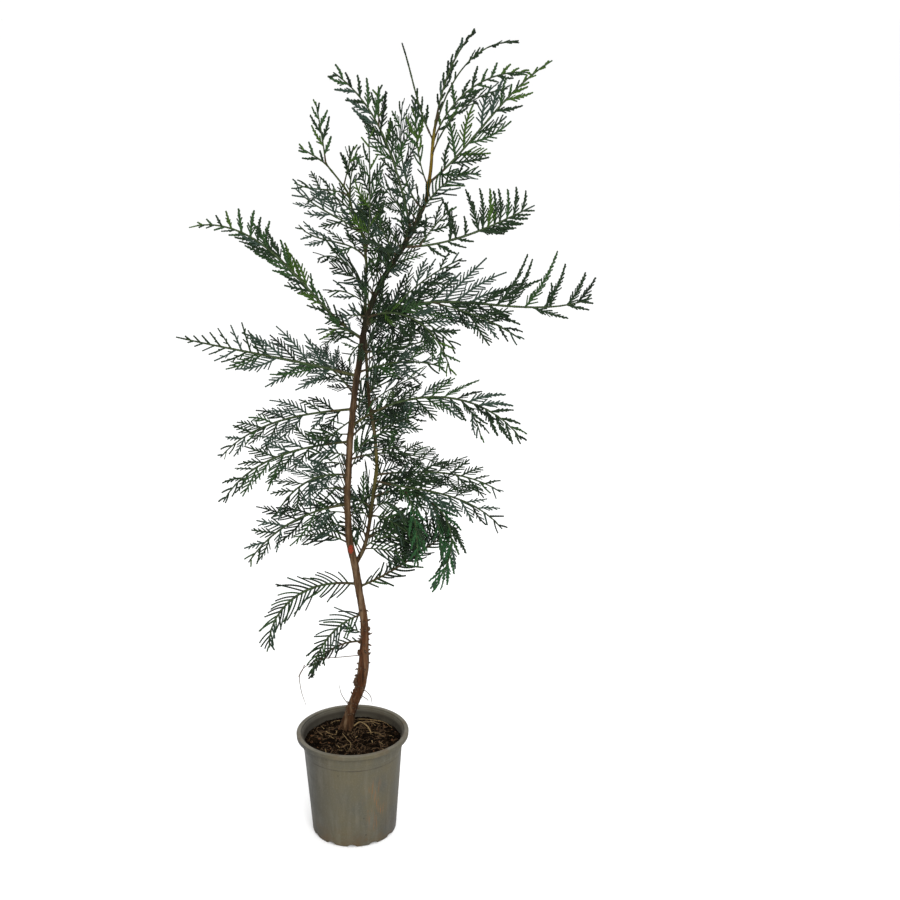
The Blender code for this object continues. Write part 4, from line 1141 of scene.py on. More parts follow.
@dataclass
class Stems:
    """The trunk, the second stem that forks from it, the bare boughs, and what the trunk carries."""

    seed: int = 411
    knot_reach: float = 0.9
    knot_rise: float = 0.28
    fork_height: float = 352.0
    bough_overlap: float = 6.0
    bough_step: float = 1.4
    bough_slimness: float = 0.94
    collar_rise: float = 0.5
    collar_reach: float = 5.0
    stub_count: int = 88
    stub_heights: Pair = (152.0, 300.0)
    stub_lengths: Pair = (1.6, 3.6)
    stub_radii: tuple[float, ...] = (1.5, 1.0, 0.25)
    twig_radii: tuple[float, ...] = (0.6, 0.55, 0.5, 0.3)
    scar_height: float = 384.0
    scar_azimuth: float = 270.0
    scar_size: Point = (3.3, 1.3, 6.0)
    scar_collar_size: Point = (4.3, 1.56, 7.4)
    knobs: tuple[tuple[float, float, Point], ...] = (
        (197.0, 200.0, (3.2, 2.6, 5.6)), (238.0, 188.0, (1.9, 1.8, 4.6)), (272.0, 350.0, (1.6, 1.4, 3.4)),
    )
    trunk: Route = field(default_factory=lambda: Route(TRUNK))
    second: Route = field(default_factory=lambda: Route(SECOND_STEM))

    def routes(self) -> dict[str, Route]:
        """The stems by the names that the fronds' hosts have."""
        return {T: self.trunk, S: self.second}

    def build(self, axes: list["Axis"]) -> None:
        """Makes every limb and what is on the trunk.

        Args:
            axes: the fronds' axes, whose roots swell the stems.
        """
        knots = {name: [] for name in self.routes()}
        for axis in axes:
            frond = axis.frond
            if frond.host in knots:
                root = axis.points[0] + axis.along[0] * self.routes()[frond.host].radius(frond.height)
                reach, rise = frond.thickness * self.knot_reach, frond.thickness * self.knot_rise
                knots[frond.host].append((root, reach, rise))
        trunk = Limb("trunk_limb", self.trunk.points, self.trunk.radii, 36, 0.42, knots[T], flare=0.9)
        finish_piece(trunk.draw(), TRUNK_BARK, ("trunk",))
        points = np.vstack([self.trunk.at(self.fork_height), self.second.points])
        radii = np.append(self.second.radii[0], self.second.radii)
        second = Limb("second_stem_limb", points, radii, 20, 0.22, knots[S])
        finish_piece(second.draw(), SECOND_BARK, ("second_stem",))
        self.make_boughs([axis for axis in axes if axis.frond.bough])
        self.make_stubs()
        self.make_bosses()

    def make_boughs(self, axes: list["Axis"]) -> None:
        """The bare boughs, joined into one piece.

        Args:
            axes: the axes of the fronds that stand on a bough.
        """
        limbs = []
        for axis in axes:
            marks = np.arange(0.0, axis.frond.bare + self.bough_overlap, self.bough_step)
            collar = self.collar_rise * np.exp(-marks / self.collar_reach)
            radii = axis.radius(marks) * self.bough_slimness + collar
            limbs.append(Limb(axis.frond.name + "_limb", axis.at(marks), radii, 16, 0.2).draw())
        boughs = joined(limbs)
        boughs.name = "bough_limbs"
        nodes = tuple(axis.frond.name.replace("_foliage", "") for axis in axes)
        finish_piece(boughs, BOUGH_BARK, nodes)

    def make_stubs(self) -> None:
        """Short dead twigs that bristle from the lower trunk, and a few longer ones at its foot."""
        draw = np.random.default_rng(self.seed)
        stubs = Strands()
        for _ in range(self.stub_count):
            height = draw.uniform(*self.stub_heights)
            angle = draw.uniform(0.0, math.tau)
            way = np.array([math.cos(angle), math.sin(angle), draw.uniform(-0.35, 0.5)])
            root = self.trunk.at(height) + way * (self.trunk.radius(height) * 0.9)
            length = draw.uniform(*self.stub_lengths)
            hook = np.array([draw.uniform(-0.3, 0.3), draw.uniform(-0.3, 0.3), draw.uniform(-0.5, 0.6)])
            stubs.add([root, root + way * length, root + (way + hook) * length * 1.5], self.stub_radii)
        for points in BASE_TWIGS:
            stubs.add(points, self.twig_radii, fine=16)
        finish_piece(stubs.piece("dead_stubs", 5), STUB_WOOD)

    def make_bosses(self) -> None:
        """The red face of a pruned side branch, its dark collar, and dead knobs lower down."""
        self.boss("pruning_scar", self.scar_height, self.scar_azimuth, 0.6, self.scar_size, CUT_WOOD)
        self.boss("scar_collar", self.scar_height, self.scar_azimuth, -0.5, self.scar_collar_size, STUB_WOOD)
        for i, (height, azimuth, size) in enumerate(self.knobs):
            self.boss(f"dead_knob_{i + 1}", height, azimuth, 0.8, size, STUB_WOOD)

    def boss(self, name: str, height: float, azimuth: float, out: float, size: Point, finish: Finish) -> None:
        """A rough rounded lump on the trunk.

        Args:
            name: the piece's name.
            height: height of its middle.
            azimuth: the way it faces.
            out: how far its middle is outside the bark.
            size: half its width, depth and height.
            finish: its finish.
        """
        angle = math.radians(azimuth)
        way = Vector((math.cos(angle), math.sin(angle), 0.0))
        place = Vector(self.trunk.at(height)) + way * (self.trunk.radius(height) + out)
        deselect()
        bpy.ops.mesh.primitive_uv_sphere_add(segments=24, ring_count=14, radius=1.0, location=place * MM)
        lump = bpy.context.object
        lump.name = name
        lump.scale = tuple(part * MM for part in size)
        lump.rotation_euler = Euler((0.0, 0.0, angle + math.pi / 2))
        activate(lump)
        bpy.ops.object.transform_apply(location=True, rotation=True, scale=True)
        for corner in lump.data.vertices:
            corner.co += corner.normal * noise.noise(corner.co * 700.0) * 0.0009
        lump.data.shade_smooth()
        finish_piece(lump, finish)


# Fronds


class Axis:
    """The route of one frond from the middle of its host to its tip."""

    STEPS = 160
    TIP_THICKNESS = 0.9
    TAPER = 0.8

    def __init__(self, frond: Frond, hosts: dict[str, "Route | Axis"]) -> None:
        """Works out the route by the frond's slopes.

        Args:
            frond: the frond's sizes.
            hosts: the stems and the other fronds' axes by name.
        """
        self.frond = frond
        self.along, self.across = self.heading((np.arange(self.STEPS) + 0.5) / self.STEPS)
        steps = self.along * (frond.length / self.STEPS)
        self.points = hosts[frond.host].at(frond.height) + np.vstack([np.zeros(3), np.cumsum(steps, axis=0)])

    def heading(self, shares: Array) -> tuple[Array, Array]:
        """The axis's direction and the width direction of its flat blade.

        Args:
            shares: places along the axis, from 0 to 1.

        Returns:
            Two arrays of unit vectors.
        """
        frond = self.frond
        root, middle, tip = frond.slopes
        rest = 1.0 - shares
        slope = np.radians(root * rest**2 + 2 * middle * shares * rest + tip * shares**2)
        azimuth = np.radians(frond.azimuth + frond.turn * shares)
        flat, rise = np.cos(slope), np.sin(slope)
        along = np.stack([flat * np.cos(azimuth), flat * np.sin(azimuth), rise], axis=-1)
        level = np.stack([-np.sin(azimuth), np.cos(azimuth), np.zeros_like(azimuth)], axis=-1)
        tilt = math.radians(frond.tilt)
        return along, level * math.cos(tilt) + np.cross(along, level) * math.sin(tilt)

    def zone(self) -> Zone:
        """The part of the crown that the axis's root is in."""
        return next(zone for zone in Zone if self.points[0, 2] < zone.value)

    def at(self, distance: float | Array) -> Array:
        """The point or points at a distance along the axis."""
        marks = np.linspace(0.0, self.frond.length, self.STEPS + 1)
        return np.stack([np.interp(distance, marks, self.points[:, i]) for i in range(3)], axis=-1)

    def radius(self, distance: float | Array) -> float | Array:
        """Half the axis's thickness at a distance from its root."""
        rest = 1.0 - np.clip(distance / self.frond.length, 0.0, 1.0)
        return (self.TIP_THICKNESS + (self.frond.thickness - self.TIP_THICKNESS) * rest**self.TAPER) / 2


@dataclass
class Twigs:
    """Many scaly twigs, each a curve that leaves its root one way and bends another."""

    roots: Array
    along: Array
    bend: Array
    normal: Array
    lengths: Array
    widths: Array
    curl: Array
    spray: Array

    def pick(self, chosen: Array) -> "Twigs":
        """Only the chosen twigs."""
        return Twigs(*(values[chosen] for values in vars(self).values()))

    @staticmethod
    def joined(groups: list["Twigs"]) -> "Twigs":
        """All the groups' twigs as one."""
        return Twigs(*(np.concatenate(values) for values in zip(*(vars(group).values() for group in groups))))

    def point(self, share: Array) -> Array:
        """Points along the twigs.

        Args:
            share: shares of each twig's length, one row a twig.

        Returns:
            A point for each share.
        """
        run = (share * self.lengths[:, None])[..., None]
        side = (share**2 * self.lengths[:, None] * self.curl[:, None])[..., None]
        return self.roots[:, None, :] + self.along[:, None, :] * run + self.bend[:, None, :] * side

    def heading(self, share: Array) -> Array:
        """The direction of each twig at shares of its length."""
        turn = (2.0 * share * self.curl[:, None])[..., None]
        return unit(self.along[:, None, :] + self.bend[:, None, :] * turn)


@dataclass(frozen=True)
class Branching:
    """How scaly twigs stand on a side shoot, left and right in turn.

    Shares and reach are parts of the shoot's length. Twigs on its outer side are longer by the outer gain.
    """

    first: float
    pitch: float
    reach: float
    angle: float
    tip_angle: float
    share: float
    longest: float
    fall: float
    shortest: float
    outer_gain: float
    width: float
    bare_below: float
    curl: float = 0.09
    twist: float = 16.0
    jitter: float = 0.22
    sway: float = 6.0
    uneven: float = 0.2

    def grow(self, parents: Twigs, draw: Draw) -> Twigs:
        """Grows the next order of twigs.

        Args:
            parents: the side shoots that carry them.
            draw: the seeded random numbers.

        Returns:
            The new twigs.
        """
        if not len(parents.lengths):
            return parents
        most = max(1, int(parents.lengths.max() * self.reach / self.pitch) + 1)
        steps = np.arange(most)[None, :]
        size = (len(parents.lengths), most)
        spread = draw.uniform(-self.uneven, self.uneven, size) * self.pitch
        share = (self.first + steps * self.pitch + spread) / parents.lengths[:, None]
        side = np.where((steps + draw.integers(0, 2, (size[0], 1))) % 2, 1.0, -1.0)
        heading = parents.heading(share)
        normal = np.broadcast_to(parents.normal[:, None, :], heading.shape)
        sideways = unit(np.cross(normal, heading)) * side[..., None]
        bend = np.broadcast_to(parents.bend[:, None, :], heading.shape)
        outer = np.einsum("ijk,ijk->ij", sideways, bend) > 0.0
        swing = draw.uniform(-self.sway, self.sway, size)
        angle = np.radians(self.angle + (self.tip_angle - self.angle) * share + swing)
        toward = heading * np.cos(angle)[..., None] + sideways * np.sin(angle)[..., None]
        grown = np.clip((parents.lengths - self.bare_below) / self.bare_below, 0.0, 1.0)
        full = (np.minimum(self.longest, self.share * parents.lengths) * grown**0.5)[:, None]
        length = full * (1.0 - self.fall * share) * np.where(outer, self.outer_gain, 1.0 / self.outer_gain)
        length = length * draw.uniform(1.0 - self.jitter, 1.0 + self.jitter, size)
        keep = (share < self.reach) & (length > self.shortest)
        toward = unit(toward[keep])
        flat = square_to(normal[keep], toward)
        count = len(toward)
        flat = turned_about(flat, toward, np.radians(draw.uniform(-self.twist, self.twist, count)))
        return Twigs(
            parents.point(share)[keep], toward, square_to(heading[keep], toward), flat, length[keep],
            self.width * draw.uniform(0.9, 1.1, count), self.curl * draw.uniform(0.2, 1.8, count),
            parents.spray[np.nonzero(keep)[0]],
        )


@dataclass(frozen=True)
class SprayRule:
    """The side shoots of a frond, by the rule that the solids follow, at the real shoots' pitch."""

    bare: float = 9.0
    bare_tip: float = 2.0
    uneven: float = 0.16
    angle: float = 50.0
    tip_angle: float = 36.0
    angle_jitter: float = 7.0
    lift: float = 14.0
    twist: float = 22.0
    jitter: float = 0.24
    lost: float = 0.05
    fall: float = 1.7
    outreach: float = 6.0
    width: float = 2.7
    tufted_width: float = 3.15
    curl: float = 0.15
    shortest: float = 5.0

    def shoots(self, axis: Axis, first_spray: int, draw: Draw) -> Twigs:
        """The side shoots of one frond.

        Args:
            axis: the frond's axis.
            first_spray: number of the frond's first spray.
            draw: the seeded random numbers.

        Returns:
            The side shoots, root to tip.
        """
        frond, setting = axis.frond, axis.frond.habit.value
        start = min(frond.bare, self.bare) + setting.first
        leafy = frond.length - start - self.bare_tip
        count = max(3, round(leafy / setting.pitch))
        share = (np.arange(count) + 0.5) / count
        distance = start + leafy * share + draw.uniform(-self.uneven, self.uneven, count) * setting.pitch
        side = np.where((np.arange(count) + draw.integers(0, 2)) % 2, 1.0, -1.0)
        degrees = self.angle + (self.tip_angle - self.angle) * share
        degrees = degrees * setting.spread + draw.uniform(-self.angle_jitter, self.angle_jitter, count)
        full = frond.width * setting.length * np.minimum(1.0, setting.rise[0] + setting.rise[1] * share)
        length = full * (1.0 - frond.narrowing * share**self.fall)
        length = length * draw.uniform(1.0 - self.jitter, 1.0 + self.jitter, count)
        left = (frond.length - distance) / np.cos(np.radians(degrees))
        length = np.minimum(length, left * setting.tip_share + self.outreach)
        curl = self.curl * draw.uniform(-0.3, 2.4, count)
        made = self.placed(axis, (distance, side, degrees, length, curl), first_spray, draw)
        kept = draw.uniform(0.0, 1.0, count) > self.lost
        return made.pick((length > self.shortest) & (share < frond.ruled_until) & kept)

    def leading(self, axis: Axis, first_spray: int, draw: Draw) -> Twigs:
        """The shoots that stand out of the frond's rule.

        Args:
            axis: the frond's axis.
            first_spray: number of the first of their sprays.
            draw: the seeded random numbers.

        Returns:
            The shoots as twigs.
        """
        shoots = axis.frond.leading
        rows = [(shoot.distance, shoot.side, shoot.angle, shoot.length, shoot.curl) for shoot in shoots]
        return self.placed(axis, tuple(np.array(rows, dtype=float).reshape(-1, 5).T), first_spray, draw)

    def placed(self, axis: Axis, columns: tuple[Array, ...], first_spray: int, draw: Draw) -> Twigs:
        """Side shoots set on an axis.

        Args:
            axis: the frond's axis.
            columns: for each shoot the distance of its root along the axis, the side that it stands on, its
                angle from the axis, its length, and how far it bends towards the frond's tip.
            first_spray: spray number of the first of them.
            draw: the seeded random numbers.

        Returns:
            The shoots.
        """
        distance, side, degrees, length, curl = columns
        count = len(distance)
        share = distance / axis.frond.length
        along, across = axis.heading(share)
        angle, lift = np.radians(degrees), np.radians(draw.uniform(-self.lift, self.lift, count))
        flat = np.cross(along, across)
        outward = across * np.cos(lift)[:, None] + flat * (side * np.sin(lift))[:, None]
        toward = unit(along * np.cos(angle)[:, None] + outward * (side * np.sin(angle))[:, None])
        twist = np.radians(draw.uniform(-self.twist, self.twist, count))
        normal = turned_about(unit(np.cross(along, outward)), toward, twist)
        tufted = (share > axis.frond.habit.value.tufted_from) | bool(axis.frond.leading)
        tufted &= axis.frond.habit is not FEATHERY
        widths = np.where(tufted, self.tufted_width, self.width) * draw.uniform(0.92, 1.08, count)
        spray = first_spray + np.arange(count)
        return Twigs(axis.at(distance), toward, square_to(along, toward), normal, length, widths, curl, spray)


class ScaleMesh:
    """Turns scaly twigs into one mesh: a flattened section that widens to each scale's tip."""

    PITCH = 3.0
    WAIST = 0.78
    SCALE_TIP = 0.68
    THICKNESS = 0.58
    TAPER = 0.24
    SIDES = 4

    @classmethod
    def arrays(cls, twigs: Twigs) -> tuple[Array, Array, Array]:
        """Corners, four-sided faces and three-sided faces of many twigs.

        Args:
            twigs: the twigs.

        Returns:
            The three arrays.
        """
        corners, quads, triangles, base = [], [], [], 0
        scales = np.clip(np.round(twigs.lengths / cls.PITCH), 2, 40).astype(int)
        side = np.arange(cls.SIDES)
        after = (side + 1) % cls.SIDES
        for count in np.unique(scales):
            group = twigs.pick(scales == count)
            made = cls.rings(group, int(count))
            last_ring = cls.SIDES * (2 * int(count) - 1)
            first = base + np.arange(len(made))[:, None] * made.shape[1]
            rows = first[..., None] + np.arange(0, last_ring, cls.SIDES)[None, :, None]
            faces = [rows + side, rows + after, rows + cls.SIDES + after, rows + cls.SIDES + side]
            quads.append(np.stack(faces, axis=-1).reshape(-1, 4))
            quads.append(first + side[::-1])
            last = first + last_ring
            tip = np.broadcast_to(last + cls.SIDES, (len(made), cls.SIDES))
            triangles.append(np.stack([last + side, last + after, tip], axis=-1).reshape(-1, 3))
            corners.append(made.reshape(-1, 3))
            base += made.shape[0] * made.shape[1]
        return np.vstack(corners), np.vstack(quads), np.vstack(triangles)

    @classmethod
    def rings(cls, group: Twigs, count: int) -> Array:
        """The corners of twigs that all have the same number of scales.

        Args:
            group: the twigs.
            count: scales of each.

        Returns:
            Corners, one row a twig: four a ring, and the tip.
        """
        steps = np.arange(count)
        share = np.stack([steps / count, (steps + cls.SCALE_TIP) / count], axis=1).ravel()[None, :]
        wide = np.tile([cls.WAIST, 1.0], count)[None, :] * (1.0 - cls.TAPER * share)
        share = np.broadcast_to(share, (len(group.lengths), 2 * count))
        middle, heading = group.point(share), group.heading(share)
        across = unit(np.cross(group.normal[:, None, :], heading))
        half = (group.widths[:, None] * wide / 2.0)[..., None]
        broad, thick = across * half, np.cross(heading, across) * half * cls.THICKNESS
        ring = np.stack([broad, thick, -broad, -thick], axis=2)
        made = (middle[:, :, None, :] + ring).reshape(len(group.lengths), -1, 3)
        return np.concatenate([made, group.point(np.ones((len(group.lengths), 1)))], axis=1)


@dataclass
class Crown:
    """All the fronds: their axes, side shoots and finer twigs, dealt out by spray into tones."""

    stems: Stems
    seed: int = 20
    rule: SprayRule = field(default_factory=SprayRule)
    feathery: Branching = Branching(
        first=3.6, pitch=2.9, reach=0.76, angle=41.0, tip_angle=33.0, share=0.4, longest=16.0, fall=0.66,
        shortest=3.0, outer_gain=1.2, width=2.3, bare_below=17.0,
    )
    tufted: Branching = Branching(
        first=2.8, pitch=2.7, reach=0.93, angle=34.0, tip_angle=24.0, share=0.31, longest=13.0, fall=0.84,
        shortest=1.6, outer_gain=1.1, width=2.5, bare_below=6.0, twist=25.0,
    )
    sparse: Branching = Branching(
        first=6.0, pitch=5.0, reach=0.7, angle=40.0, tip_angle=30.0, share=0.24, longest=9.0, fall=0.6,
        shortest=2.0, outer_gain=1.1, width=2.2, bare_below=12.0,
    )
    clearance: float = 0.5
    checked_shares: tuple[float, ...] = (0.45, 0.7, 1.0)
    scaly_from: float = 0.35
    whip_scaly_from: float = 8.0
    run_length: float = 14.0
    run_overlap: float = 1.25
    axis_step: float = 3.0
    axis_sides: int = 7
    axis_end: float = 0.96
    brown_share: float = 0.12
    withered_brown_share: float = 0.9
    root_swelling: Pair = (0.35, 4.0)

    def plan(self) -> list[Axis]:
        """Works out all the axes, of the solids' own fronds first and then of the inner ones.

        Returns:
            The axes.
        """
        draw = np.random.default_rng(self.seed + 1)
        inner = [frond for name, thicket in THICKETS.items() for frond in thicket.fronds(name, draw)]
        hosts: dict[str, Route | Axis] = self.stems.routes()
        for frond in (*FRONDS, *CHILD_FRONDS, *inner):
            hosts[frond.name] = Axis(frond, hosts)
        return [host for host in hosts.values() if isinstance(host, Axis)]

    def build(self, axes: list[Axis]) -> None:
        """Makes the axes and the foliage.

        Args:
            axes: the fronds' axes.
        """
        draw = np.random.default_rng(self.seed)
        self.make_axes(axes)
        for zone in Zone:
            local = [axis for axis in axes if axis.zone() is zone]
            groups, tones, sprays = [], [], 0
            for axis in local:
                dealt = self.dealt(axis, draw)
                shoots = self.rule.shoots(axis, sprays, draw)
                leading = self.rule.leading(axis, sprays + len(dealt) - len(axis.frond.leading), draw)
                finer = self.sparse if axis.frond.habit is FEATHERY else self.tufted
                groups.append(self.clear_of_stems(Twigs.joined([
                    shoots, leading, *self.branched(axis, shoots, draw), finer.grow(leading, draw),
                    self.axis_twigs(axis, sprays),
                ])))
                tones.append(dealt)
                sprays += len(dealt)
            self.make_zone(zone, Twigs.joined(groups), np.concatenate(tones), local)

    def branched(self, axis: Axis, shoots: Twigs, draw: Draw) -> list[Twigs]:
        """The finer twigs on a frond's side shoots: feathery ones, and tufted ones near its growing tip.

        Args:
            axis: the frond's axis.
            shoots: its side shoots.
            draw: the seeded random numbers.

        Returns:
            The groups of twigs, or nothing for a comb.
        """
        setting = axis.frond.habit.value
        if not setting.branched:
            return []
        share = np.linalg.norm(shoots.roots - axis.points[0], axis=1) / axis.frond.length
        late = share > setting.tufted_from
        return [self.feathery.grow(shoots.pick(~late), draw), self.tufted.grow(shoots.pick(late), draw)]

    def axis_twigs(self, axis: Axis, spray: int) -> Twigs:
        """The outer stretch of a frond's axis, in short scaly runs that follow its bend.

        Args:
            axis: the frond's axis.
            spray: number of the frond's first spray.

        Returns:
            The runs as twigs.
        """
        frond = axis.frond
        start = self.whip_scaly_from if frond.habit is WHIP else frond.length * self.scaly_from
        count = max(3, round((frond.length - start) / self.run_length))
        marks = np.linspace(start, frond.length, count + 1)
        ends = axis.at(marks)
        runs = ends[1:] - ends[:-1]
        _, across = axis.heading(np.clip(marks[:-1] / frond.length, 0.0, 1.0))
        along = unit(runs)
        normal = unit(np.cross(along, across))
        widths = np.maximum(axis.radius(marks[:-1]) * 2.6 + 0.5, 2.4)
        lengths = np.linalg.norm(runs, axis=1)
        lengths[:-1] *= self.run_overlap
        curl, sprays = np.zeros(count), np.full(count, spray)
        return Twigs(ends[:-1], along, normal, normal, lengths, widths, curl, sprays)

    def clear_of_stems(self, twigs: Twigs) -> Twigs:
        """Leaves out each twig that would pass through a stem.

        Args:
            twigs: all the twigs.

        Returns:
            Those that stay clear.
        """
        clear = np.ones(len(twigs.lengths), dtype=bool)
        places = twigs.point(np.tile(self.checked_shares, (len(twigs.lengths), 1)))
        for route in self.stems.routes().values():
            line, radii = route.points[::3], route.radii[::3]
            gaps = np.linalg.norm(places[:, :, None, :] - line[None, None, :, :], axis=3) - radii
            clear &= gaps.min(axis=(1, 2)) > self.clearance
        return twigs.pick(clear)

    def dealt(self, axis: Axis, draw: Draw) -> Array:
        """The tone of each spray of a frond, brighter towards a growing tip, and of each leading shoot.

        Args:
            axis: the frond's axis.
            draw: the seeded random numbers.

        Returns:
            Tone numbers, root to tip.
        """
        health = axis.frond.health
        shares = np.array(health.value)
        count = max(3, round(axis.frond.length / axis.frond.habit.value.pitch)) + 1
        tones = draw.choice(len(shares), size=count, p=shares / shares.sum())
        if health is GROWING:
            near_tip = np.linspace(0.0, 1.0, count) > draw.uniform(0.55, 1.0, count)
            tones[near_tip] = BRIGHT.value
        return np.concatenate([tones, [shoot.tone.value for shoot in axis.frond.leading]]).astype(int)

    def make_zone(self, zone: Zone, twigs: Twigs, tones: Array, axes: list[Axis]) -> None:
        """One piece of foliage for each tone in a zone of the crown.

        Args:
            zone: the zone.
            twigs: all its twigs.
            tones: tone number of each spray.
            axes: the zone's fronds.
        """
        solids = {frond.name for frond in FRONDS}
        nodes = tuple(axis.frond.name for axis in axes if axis.frond.name in solids)
        for tone in Tone:
            group = twigs.pick(tones[twigs.spray] == tone.value)
            if len(group.lengths):
                name = f"foliage_{zone.name.lower()}_{tone.name.lower()}"
                finish_piece(mesh_piece(name, *ScaleMesh.arrays(group)), LEAVES[tone], nodes)

    def make_axes(self, axes: list[Axis]) -> None:
        """The fronds' woody axes: brown near the root, then green.

        Args:
            axes: the fronds' axes.
        """
        brown, green = Strands(), Strands()
        rise, reach = self.root_swelling
        for axis in axes:
            frond = axis.frond
            root = frond.bare - 3.0 if frond.bough else 0.0
            withered = frond.health is WITHERED or (frond.bough and frond.health is SHADED)
            change = max(root + 8.0, frond.length * self.brown_share)
            if withered:
                change = frond.length * self.withered_brown_share
            for strands, start, end in (
                (brown, root, change + 2.0), (green, change, frond.length * self.axis_end),
            ):
                marks = np.linspace(start, end, max(3, round((end - start) / self.axis_step)))
                swell = 0.0 if frond.bough else rise * np.exp(-marks / reach)
                strands.add(axis.at(marks), axis.radius(marks) + swell)
        finish_piece(brown.piece("frond_axes_brown", self.axis_sides), AXIS_BROWN)
        finish_piece(green.piece("frond_axes_green", self.axis_sides), AXIS_GREEN)


# Pot and soil


@dataclass
class Pot:
    """The round nursery pot: a tapered wall, a collar, and a flat rim with a lip turned down round it."""

    height: float = 140.0
    foot_radius: float = 54.5
    wall_top_radius: float = 63.6
    collar_radius: float = 64.6
    collar_bottom: float = 120.5
    rim_radius: float = 72.5
    rim_inner_radius: float = 66.6
    rim_depth: float = 6.2
    rim_thickness: float = 2.2
    wall: float = 1.6
    floor: float = 1.8
    foot_bevel: float = 3.0
    rim_round: float = 1.6
    inner_round: float = 1.4
    lip_thickness: float = 1.3
    steps: int = 144
    notches: int = 12
    notch_radius: float = 7.5
    notch_height: float = 4.2
    notch_depth: float = 16.0
    smooth_below: float = 32.0

    def wall_radius(self, height: float) -> float:
        """Outer radius of the tapered wall at a height."""
        share = height / self.collar_bottom
        return self.foot_radius + (self.wall_top_radius - self.foot_radius) * share

    @staticmethod
    def arc(radius: float, height: float, size: float, start: float, end: float, count: int) -> list[Pair]:
        """Points of a rounded edge.

        Args:
            radius: radius of the arc's centre from the pot's axis.
            height: height of the arc's centre.
            size: the arc's own radius.
            start: first angle in degrees, 0 outwards and 90 up.
            end: last angle.
            count: number of points.

        Returns:
            Radius and height of each point.
        """
        angles = [math.radians(start + (end - start) * i / (count - 1)) for i in range(count)]
        return [(radius + size * math.cos(angle), height + size * math.sin(angle)) for angle in angles]

    def profile(self) -> list[Pair]:
        """The rings that the pot is raised by.

        Returns:
            Radius and height of each ring, from the foot up the outside and down the inside.
        """
        bevel, lip = self.foot_bevel, self.lip_thickness
        bottom, collar = self.collar_bottom, self.collar_radius
        rim_bottom, under = self.height - self.rim_depth, self.height - self.rim_thickness
        rim, inner, inside = self.rim_round, self.inner_round, collar - self.wall
        return [
            (self.foot_radius - bevel, 0.0),
            *self.arc(self.wall_radius(bevel) - bevel, bevel, bevel, -62.0, 0.0, 5),
            *((self.wall_radius(z), z) for z in (20.0, 45.0, 75.0, 100.0, bottom - 1.6)),
            (self.wall_radius(bottom) + 0.1, bottom - 0.7), (collar - 0.15, bottom), (collar, bottom + 0.6),
            (collar + 0.2, 127.0), (collar + 0.4, under - 1.4),
            *self.arc(collar + 1.6, under - 1.2, 1.2, 180.0, 90.0, 4),
            *self.arc(self.rim_radius - lip - 1.0, under - 1.0, 1.0, 90.0, 0.0, 4),
            *self.arc(self.rim_radius - lip / 2 - 0.2, rim_bottom + lip / 2, lip / 2, -180.0, 0.0, 7),
            *self.arc(self.rim_radius - rim, self.height - rim, rim, 0.0, 90.0, 7),
            *self.arc(self.rim_inner_radius + inner, self.height - inner, inner, 90.0, 180.0, 6),
            (inside + 1.1, rim_bottom + 1.8), (inside, rim_bottom), (inside, 127.2), (inside - 0.5, 126.4),
            (inside - 0.4, bottom + 1.0),
            *((self.wall_radius(z) - self.wall, z) for z in (bottom - 1.0, 75.0, 30.0)),
            (self.wall_radius(bevel) - self.wall, self.floor + bevel),
            (self.foot_radius - self.wall - bevel, self.floor),
        ]

    def build(self) -> None:
        """Raises the pot from its foot, ring after ring, and cuts the notches."""
        rings = self.profile()
        deselect()
        radius, height = rings[0]
        bpy.ops.mesh.primitive_circle_add(vertices=self.steps, radius=radius * MM, fill_type="NGON")
        pot = bpy.context.object
        pot.name = "nursery_pot"
        edit_all()
        for next_radius, next_height in rings[1:]:
            pull(next_height - height, next_radius / radius, next_height)
            radius, height = next_radius, next_height
        face_outwards()
        self.cut_notches(pot)
        activate(pot)
        bpy.ops.object.shade_smooth_by_angle(angle=math.radians(self.smooth_below))
        finish_piece(pot, POT_PLASTIC, ("pot",))

    def cut_notches(self, pot: Object) -> None:
        """Cuts the drainage notches round the foot.

        Args:
            pot: the whole pot.
        """
        deselect()
        cutters = []
        out, up = self.foot_radius * MM, (self.notch_height - self.notch_radius) * MM
        for i in range(self.notches):
            angle = math.tau * i / self.notches
            bpy.ops.mesh.primitive_cylinder_add(
                vertices=40, radius=self.notch_radius * MM, depth=self.notch_depth * MM,
                location=(out * math.cos(angle), out * math.sin(angle), up),
                rotation=(0.0, math.pi / 2, angle),
            )
            cutters.append(bpy.context.object)
        cutter = joined(cutters)
        activate(pot)
        cut = pot.modifiers.new("notches", "BOOLEAN")
        cut.operation = "DIFFERENCE"
        cut.object = cutter
        bpy.ops.object.modifier_apply(modifier=cut.name)
        bpy.data.objects.remove(cutter, do_unlink=True)


@dataclass(frozen=True)
class Litter:
    """Many lumps of one kind on the soil: how many, their sizes, flatness and share below the surface."""

    name: str
    count: int
    smallest: float
    largest: float
    flatness: float
    sink: float
    subdivisions: int
    finish: Finish


CRUMBS = Litter("peat_crumbs", 1150, 1.2, 5.2, 0.75, 0.25, 2, PEAT)
CHIPS = Litter("bark_chips", 90, 2.4, 7.5, 0.28, 0.15, 1, CHIP)


